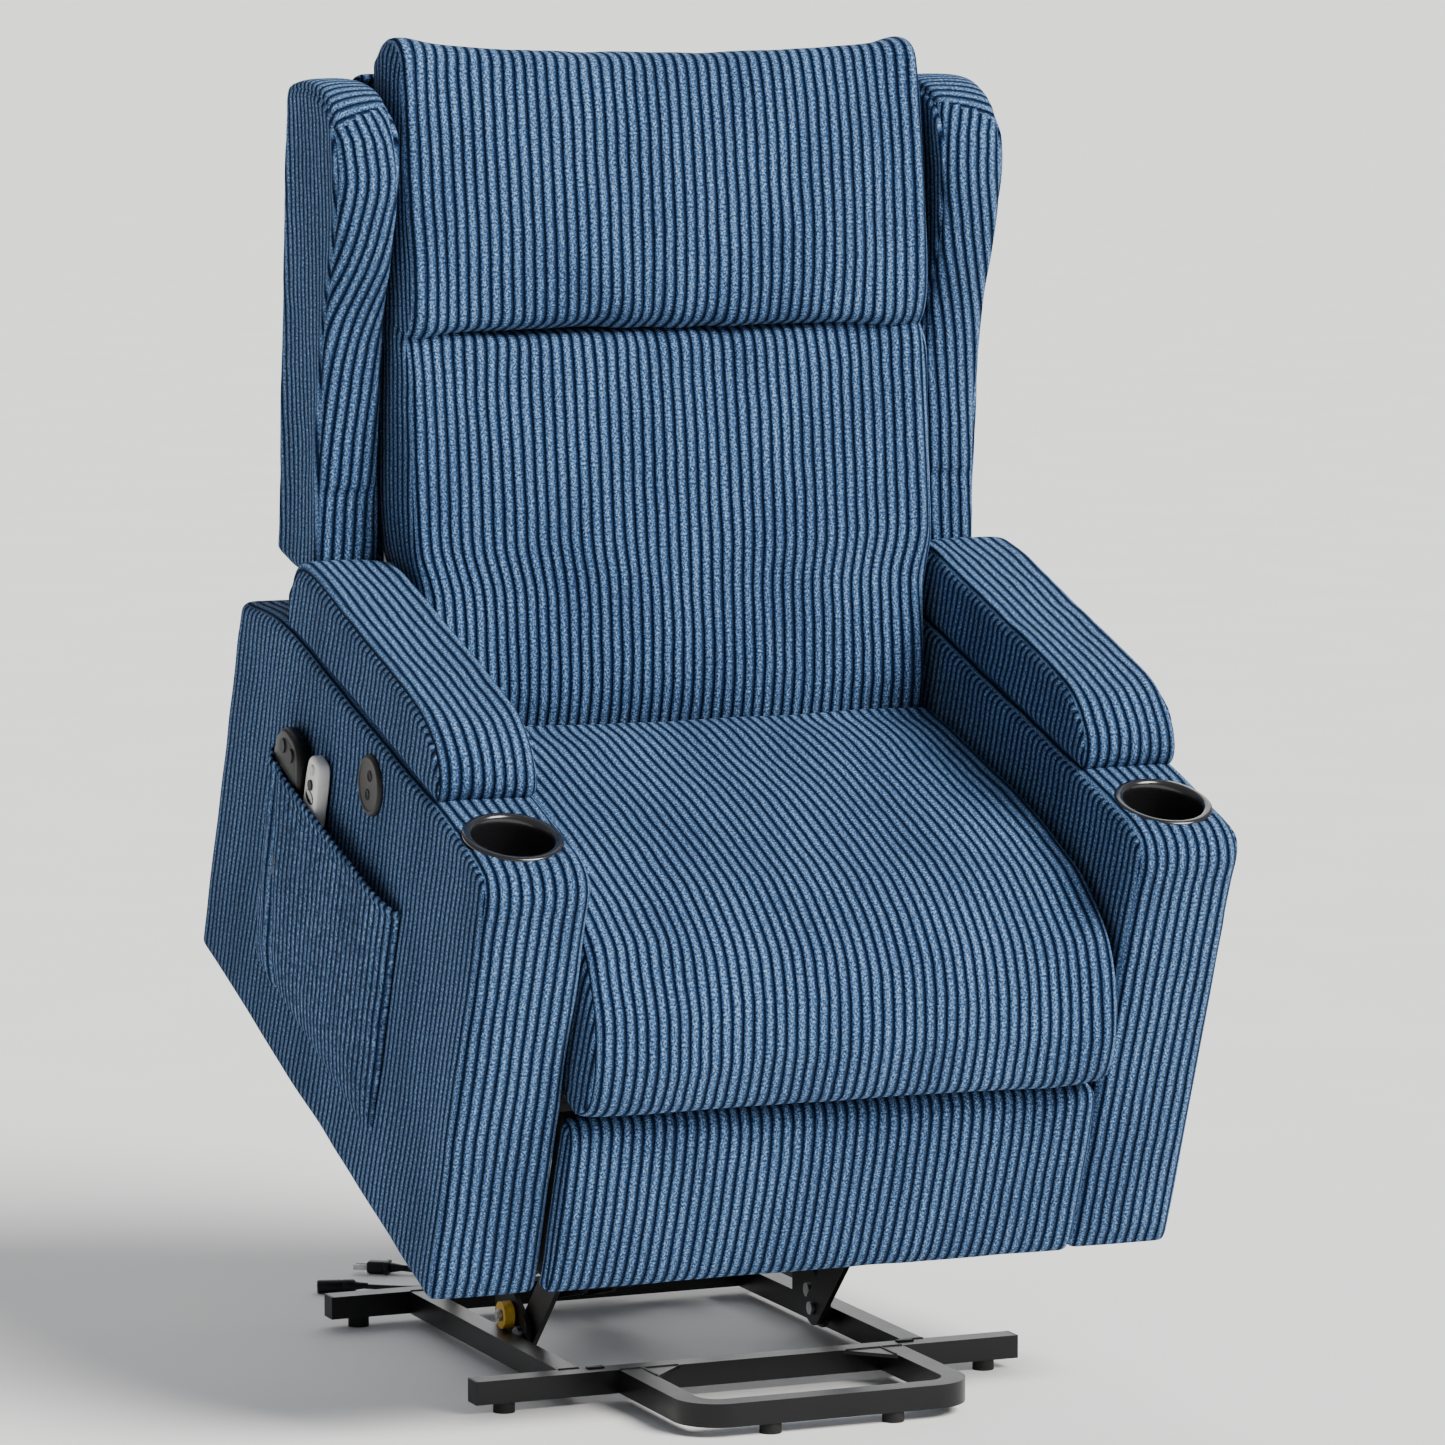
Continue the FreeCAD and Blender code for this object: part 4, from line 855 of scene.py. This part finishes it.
def make_wing():
    front = [(166, 68), (260, 60), (350, 50), (440, 32), (510, 2), (560, -14), (600, -22), (640, -18)]
    sides = [front, [(640, -18), (672, 0), (696, 40), (704, 90), (700, 146)],
             [(700, 146), (440, 172), (184, 196)], [(184, 196), (168, 130), (166, 68)]]

    def lay(x, up, deep, run):
        """The front's ribs slant out over the ear; above the mitre they run across the top."""
        if up > 676 - 0.35 * (x - 326) and deep < 150:
            return lambda x, up, deep, run: (run + 0.3 * x, x, 80.0)
        return lambda x, up, deep, run: (x - 0.75 * deep, run, 0.0)

    piece = Soft("right_wing_cover", sides, 324, 402, back, ribs="b", step=6.0, lay=lay)

    def swell(x, up, deep, kind, s, t):
        if kind == "cap":
            return 3.0 * dome(s) * dome(t)
        across = (x - 324) / 78
        return 7.0 * bell(across) if deep < 60 or up > 660 else 2.0 * bell(across)
    piece.relax(8, lambda x, up, deep: 1.0 if (deep < 90 and up > 215) or up > 640 else 0.35)
    piece.push(swell).rumple(2.0, 90, 6)
    return cover(piece, 0.8, 2.0, 5)


def make_arm():
    top = [(806, 436), (661, 472), (433, 487), (172, 502), (70, 505), (36, 505), (13, 500)]
    sides = [top, [(13, 500), (-1, 486), (-3, 462), (0, 420), (0, 60), (1, -4)], [(1, -4), (807, -4)],
             [(807, -4), (806, 436)]]
    piece = Soft("right_arm_body", sides, ARM_INNER, ARM_OUTER, chair)

    def swell(x, y, z, kind, s, t):
        if kind == "cap":
            return (4.0 if x > 400 else 1.0) * dome(s) * dome(t)
        across = (x - ARM_INNER) / (ARM_OUTER - ARM_INNER)
        return 3.0 * bell(across) if z > 20 and y < 200 else 0.0
    piece.relax(5, lambda x, y, z: 1.0 if z > 400 else 0.6).push(swell).rumple(1.5, 140, 7)
    return piece.build(), piece


def mirror_copy(obj, name):
    """The left twin of a right-hand piece."""
    twin = link(bpy.data.objects.new(name, obj.data.copy()))
    twin.data.name = name
    for vert in twin.data.vertices:
        vert.co.x = -vert.co.x
        vert.co += noise.noise_vector(vert.co * 11.0) * 1.2 * MM
    paint(twin, CLOTH)
    return twin


def cup_hole(shape):
    """Open the arm's platform for the cup, with a short lining."""
    centre = chair(CUP_X, CUP_Y, PLATFORM_Z)
    up = (chair(0, 0, 1) - chair(0, 0, 0)).normalized()
    radius = 49.5 * MM

    def off(co):
        d = co - centre
        return d - up * d.dot(up), d.dot(up)
    doomed = []
    for face in shape.faces:
        flat, high = off(face.calc_center_median())
        if flat.length < radius and abs(high) < 0.012:
            doomed.append(face)
    bmesh.ops.delete(shape, geom=doomed, context="FACES")
    rim = [e for e in shape.edges if e.is_boundary]
    for vert in {v for e in rim for v in e.verts}:
        flat, high = off(vert.co)
        vert.co = centre + flat.normalized() * radius + up * high
    lining = bmesh.ops.extrude_edge_only(shape, edges=rim)["geom"]
    for vert in [g for g in lining if isinstance(g, bmesh.types.BMVert)]:
        vert.co -= up * 0.02


def make_soft_pieces():
    covers = [make_seat(), make_lumbar(), make_head(), make_footrest(), make_pad(), make_wing(), make_arm()]
    run_cloth()
    for (obj, soft), depth in zip(covers, (3, 3, 3, 2.5, 2.5, 3, 2)):
        outward(obj)
        sink(obj, soft.seam_points(), depth)
    seat, lumbar, head, footrest, pad, wing, arm = [obj for obj, _ in covers]
    reshape(arm, cup_hole)
    finish_soft(seat, "chair", "seat_cushion")
    finish_soft(lumbar, "backrest", "lumbar_cushion")
    finish_soft(head, "backrest", "head_cushion")
    finish_soft(footrest, "legrest", "legrest_cushion")
    for right, kind, body, node in ((pad, "pad_cover", "chair", "arm_pad"),
                                    (wing, "wing_cover", "backrest", "wing"),
                                    (arm, "arm_body", "chair", "arm_cover")):
        left = mirror_copy(right, "left_" + kind)
        finish_soft(right, body, "right_" + node)
        finish_soft(left, body, "left_" + node)


make_soft_pieces()


def make_back_panel():
    """The outside back, which narrows where it drops between the arms."""
    outer = [(-58, 188), (60, 193), (184, 197), (440, 183), (640, 173), (690, 166), (712, 146), (718, 116)]
    inner = [(706, 114), (690, 146), (640, 158), (440, 168), (184, 172), (-58, 172)]
    sides = [outer, [(718, 116), (706, 114)], inner, [(-58, 172), (-58, 188)]]

    def narrow(x, up, deep):
        return x * (298 + 25 * ease((up - 168) / 20)) / PANEL_HALF
    piece = Soft("back_panel", sides, -PANEL_HALF, PANEL_HALF, back, shape_x=narrow)
    piece.relax(2).rumple(1.6, 150, 8)
    finish_soft(piece.build(), "backrest", "outside_back")


make_back_panel()


# ---- pockets ----
POCKET_FRONT, POCKET_REAR, POCKET_FOOT, POCKET_MOUTH = 216, 618, 80, 350
POCKET_X = 436.5                    # just off the arm's outer face


def hand(side):
    return "right" if side > 0 else "left"


def handful(side, y):
    """The left pocket stands out over the two controls inside it."""
    return 6.0 * near(y, 555, 60) + 2.0 * near(y, 475, 40) if side < 0 else 0.0


def pouch_depth(s):
    """How far the pocket's mouth stands off the arm, from its front seam to its rear one."""
    slope = 3 if s < 0.5 else 12
    return 17.0 * (1.0 - abs(2 * s - 1) ** slope) ** 0.6


def fold(y, lean):
    """A fold near the pocket's rear seam, which leans forward towards the foot."""
    return 2.6 * near(y, 585 - lean, 9) - 2.0 * near(y, 566 - lean, 8)


def scallop(y):
    return 0.9 * abs(math.sin(math.pi * y / RIB))


def make_pocket(side):
    """A cloth pocket sewn to the arm's outer face at its sides and foot, open above."""
    columns, rows = 58, 38
    verts, lays = [], []
    for inner in (0, 1):
        for j in range(rows + 1):
            for i in range(columns + 1):
                s, t = i / columns, j / rows
                y = POCKET_FRONT + (POCKET_REAR - POCKET_FRONT) * s
                z = POCKET_FOOT + (POCKET_MOUTH - POCKET_FOOT) * t - 4.0 * dome(s) * t
                pouch = pouch_depth(s) * (0.55 + 0.45 * t) * min(1.0, t * 5) ** 0.5
                if side < 0:
                    pouch -= 3.0 * near(y, 330, 50) * t * t
                edge = scallop(y) if j >= rows - 1 else 0.0
                out = POCKET_X + pouch + handful(side, y) * min(1.0, t * 1.6) + fold(y, 26 * (1 - t)) + edge
                out += 1.0 * noise.noise(Vector((y / 60, z / 60, side))) - 2.4 * inner
                verts.append(chair(side * out, y, z + edge))
                lays.append((y, z, 9.0 * side))
    faces = []

    def at(layer, i, j):
        return (layer * (rows + 1) + j) * (columns + 1) + i
    for j in range(rows):
        for i in range(columns):
            faces.append((at(0, i, j), at(0, i + 1, j), at(0, i + 1, j + 1), at(0, i, j + 1)))
            faces.append((at(1, i, j), at(1, i, j + 1), at(1, i + 1, j + 1), at(1, i + 1, j)))
        for i in (0, columns):
            faces.append((at(0, i, j), at(0, i, j + 1), at(1, i, j + 1), at(1, i, j)))
    for i in range(columns):
        for j in (0, rows):
            faces.append((at(0, i, j), at(0, i + 1, j), at(1, i + 1, j), at(1, i, j)))
    name = hand(side) + "_pocket_cloth"
    obj = mesh_object(name, verts, faces)
    lay_ribs(obj, [lays[k] for face in faces for k in face])
    paint(obj, CLOTH)
    outward(obj)
    obj = join(name, [obj, hem_roll(side)])
    belongs(obj, "chair", "corduroy", hand(side) + "_pocket")


def hem_roll(side):
    """The pocket's thick rolled top edge, scalloped by the ribs."""
    columns, around = 260, 10
    verts, lays = [], []
    for i in range(columns + 1):
        s = i / columns
        y = POCKET_FRONT + (POCKET_REAR - POCKET_FRONT) * s
        pouch = pouch_depth(s) + fold(y, 0)
        if side < 0:
            pouch -= 3.0 * near(y, 330, 50)
        out, level = POCKET_X + pouch + handful(side, y) - 0.8, POCKET_MOUTH - 4.0 * dome(s) - 4.0
        swell = 3.0 + scallop(y)
        for k in range(around):
            angle = math.tau * k / around
            verts.append(chair(side * (out + swell * 0.75 * math.cos(angle)), y,
                               level + swell * 1.35 * math.sin(angle)))
            lays.append((y, level + 4 * angle, 9.0 * side))
    last = columns * around
    faces = ring_faces(columns + 1, around) + [tuple(range(around)), tuple(range(last, last + around))]
    obj = mesh_object("hem", verts, faces)
    lay_ribs(obj, [lays[k] for face in faces for k in face])
    paint(obj, CLOTH)
    outward(obj)
    return obj


make_pocket(-1)
make_pocket(1)


# ---- cup holders, socket plate, hand controls ----
CHAIR_UP = chair(0, 0, 1) - chair(0, 0, 0)


def make_cup(side):
    """Deep gloss cup: rolled flange, thin wall, dished floor."""
    profile = [(0.4, 44.9), (0.4, 53.2), (2.0, 54.0), (3.8, 53.4), (5.0, 51.6), (5.3, 48.6), (4.6, 45.6),
               (2.0, 43.4), (-6.0, 42.4), (-60.0, 41.4), (-66.0, 40.4), (-68.6, 37.0), (-69.0, 20.0),
               (-69.2, 0.01)]
    under = [(-71.6, 0.01), (-71.6, 40.0), (-69.0, 43.6), (-60.0, 44.6), (0.4, 44.9)]
    obj = lathe(hand(side) + "_cup", under[:-1] + profile, chair(side * CUP_X, CUP_Y, PLATFORM_Z), CHAIR_UP,
                72, caps=False)
    reshape(obj, lambda shape: bmesh.ops.remove_doubles(shape, verts=shape.verts, dist=0.0001))
    outward(obj)
    paint(obj, CUP)
    belongs(obj, "chair", "cup_gloss", hand(side) + "_cup_holder")


make_cup(-1)
make_cup(1)


PORT_X, PORT_Y, PORT_Z = -434.0, 342, 437


def make_port():
    """Round socket plate: raised rim, sunk face and two dark round sockets."""
    out = Vector((-1, 0, 0))
    plate = [(-1.0, 33.2), (1.2, 33.5), (3.4, 32.6), (4.6, 30.4), (4.8, 28.6), (4.0, 27.4), (3.7, 26.0),
             (3.7, 0.01)]
    rim = [(3.6, 6.4), (4.3, 6.2), (4.5, 5.4), (4.0, 4.8), (3.9, 0.01)]
    parts = [coated(lathe("port_plate", plate, chair(PORT_X, PORT_Y, PORT_Z), out, 64, caps=False), PORT)]
    for dz in (-11, 11):
        place = chair(PORT_X, PORT_Y, PORT_Z + dz)
        parts.append(coated(lathe("port_socket", rim, place, out, 32, caps=False), RUBBER))
    belongs(join("port_plate", parts), "chair", "port_grey", "power_port")


make_port()


def slab(name, outline, x_back, x_front, edge, material):
    """A moulded shell on the arm's outer side: a (y, z) outline with rounded edges."""
    count = len(outline)
    middle = (sum(p[0] for p in outline) / count, sum(p[1] for p in outline) / count)
    levels = [(x_back, edge * 0.6), (x_back - edge * 0.4, 0.0), (x_front + edge, 0.0)]
    for k in range(1, 5):
        angle = math.pi / 2 * k / 4
        levels.append((x_front + edge * (1 - math.sin(angle)), edge * (1 - math.cos(angle))))
    verts = []
    for x, inset in levels:
        for y, z in outline:
            dy, dz = middle[0] - y, middle[1] - z
            size = math.hypot(dy, dz)
            verts.append(chair(x, y + dy / size * inset, z + dz / size * inset))
    faces = ring_faces(len(levels), count) + [tuple(range(count))]
    last = (len(levels) - 1) * count
    centre = len(verts)
    verts.append(chair(x_front, *middle))
    faces += [(last + k, last + (k + 1) % count, centre) for k in range(count)]
    obj = mesh_object(name, verts, faces)
    outward(obj)
    return coated(obj, material)


def make_controls():
    shell = slab("handset_shell", oval(507, 597, 216, 395, 3.0), -436.4, -453.6, 5.0, CHARCOAL)
    face = slab("handset_face", oval(518, 586, 232, 385, 3.0), -450.0, -454.0, 1.2, FACE)
    window = slab("handset_window", oval(529, 575, 318, 350, 3.4), -452.0, -454.4, 0.8, LENS)
    belongs(join("handset_shell", [shell, face, window]), "chair", "handset_charcoal", "handset")
    parts = [slab("remote_shell", oval(456, 495, 241, 401, 5.0), -436.4, -450.8, 4.0, WHITE)]
    for y, z in ((465, 336), (486, 336), (465, 322), (486, 322)):
        dot = oval(y - 4, y + 4, z - 4, z + 4, 2.0, 24)
        parts.append(slab("remote_dot", dot, -449.0, -451.8, 0.8, KEY_LIGHT))
    parts.append(slab("remote_pad", oval(463, 488, 348, 363, 2.0, 40), -449.0, -451.6, 0.8, LENS))
    belongs(join("remote_shell", parts), "chair", "remote_white", "remote")


make_controls()


# ---- base details ----
def weld(start, end, radius=2.2):
    """A rippled weld bead between two base points."""
    axis = Vector(end) - Vector(start)
    steps = max(4, int(axis.length / 1.6))
    profile = [(axis.length * i / steps, radius * (0.8 + 0.2 * (i % 2)) * (0.35 if i in (0, steps) else 1.0))
               for i in range(steps + 1)]
    return coated(lathe("bead", profile, base(*start), axis, 8), STEEL)


def make_base_details():
    beads = []
    for side in (-1, 1):
        x = side * 206.5
        for y in (26, 495):
            beads.append(weld((x - 13, y, 37.5), (x + 13, y, 37.5)))
    for x0, x1 in ((-157, -131), (156, 182)):
        beads.append(weld((x0, 0, 37.5), (x1, 0, 37.5)))
    for x, side in ((-131, 1), (156, -1)):
        beads.append(weld((x, -1, 38), (x + side * 44, -1, 38), 1.6))
        beads.append(weld((x + side, -2, 38), (x + side, -44, 38), 1.6))
    belongs(join("weld_beads", beads), "base", "black_steel")
    plugs = [rounded_block("slot_plug", (20, 9, 3), 1.3, lambda a, b, c, x=x: base(x + a, 19 + b, 38.6 + c))
             for x in (-178, 193)]
    belongs(join("slot_plugs", [coated(plug, PLASTIC) for plug in plugs]), "base", "black_plastic")


make_base_details()

# ---- carried-over CAD nodes ----
CAD_LOOKS = {
    STEEL: ["front_tube", "rear_tube", "side_rails", "front_loop", "base_plates", "main_links", "rear_links",
            "chassis_tubes", "chassis_brackets", "side_plates", "legrest_upper_links", "legrest_lower_links",
            "legrest_brackets", "back_frame"],
    PLASTIC: ["tube_end_caps", "power_box", "lift_motor", "recline_motor"],
    RUBBER: ["rubber_feet"],
    YELLOW: ["left_roller_tyre", "right_roller_tyre"],
    BRIGHT: ["left_roller_hub", "right_roller_hub", "lift_rod", "recline_rod", "chair_bolts",
             "base_pivot_bolts"],
    WOOD: ["arm_frames"],
    STRAP: ["seat_webbing", "back_webbing", "legrest_board", "seat_frame"],
    KEY_DARK: ["handset_key_up", "handset_key_down", "remote_key_mode"],
    KEY_LIGHT: ["remote_key_power"],
}
BEVEL_MM = {"rubber_feet": 1.5, "power_box": 2.0, "tube_end_caps": 1.0, "left_roller_tyre": 1.5,
            "right_roller_tyre": 1.5, "lift_motor": 0.8, "arm_frames": 6.0, "front_tube": 2.4,
            "rear_tube": 2.4, "side_rails": 2.4, "main_links": 0.8}
for look, names in CAD_LOOKS.items():
    for node in names:
        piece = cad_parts[node]
        paint(piece, look)
        modified(piece, "BEVEL", width=BEVEL_MM.get(node, 0.6) * MM, segments=3, limit_method="ANGLE",
                 angle_limit=math.radians(40))


# ---- studio ----
def make_stage():
    """One wide pale floor."""
    far = 300.0
    corners = [(-far, -far, 0), (far, -far, 0), (far, far, 0), (-far, far, 0)]
    stage = mesh_object("studio_floor", corners, [(0, 1, 2, 3)])
    n = Nodes("studio_paper")
    where = n.place()
    tone = n.ramp(n.noise(where, 3.0, 3.0), [(0.3, (0.91, 0.90, 0.88)), (0.7, (0.94, 0.93, 0.915))])
    grain = n.bump(n.noise(where, 250.0), 0.0004, 0.3)
    coated(stage, n.set(Base_Color=tone, Roughness=0.85, Normal=grain))


def sun(name, source, strength, spread, colour=(1, 1, 1)):
    data = bpy.data.lights.new(name, "SUN")
    data.energy = strength
    data.angle = math.radians(spread)
    data.color = colour
    light = link(bpy.data.objects.new(name, data))
    light.location = source
    light.rotation_euler = (-Vector(source)).to_track_quat("-Z", "Y").to_euler()


make_stage()
sun("key", (2.8, -4.1, 4.6), 6.0, 30, (1.0, 0.985, 0.96))
sun("behind", (1.6, 4.0, 2.8), 0.9, 50)
world = bpy.data.worlds.new("studio_air")
world.use_nodes = True
air = world.node_tree.nodes["Background"].inputs
air["Color"].default_value = (0.93, 0.95, 1.0, 1.0)
air["Strength"].default_value = 0.38
bpy.context.scene.world = world
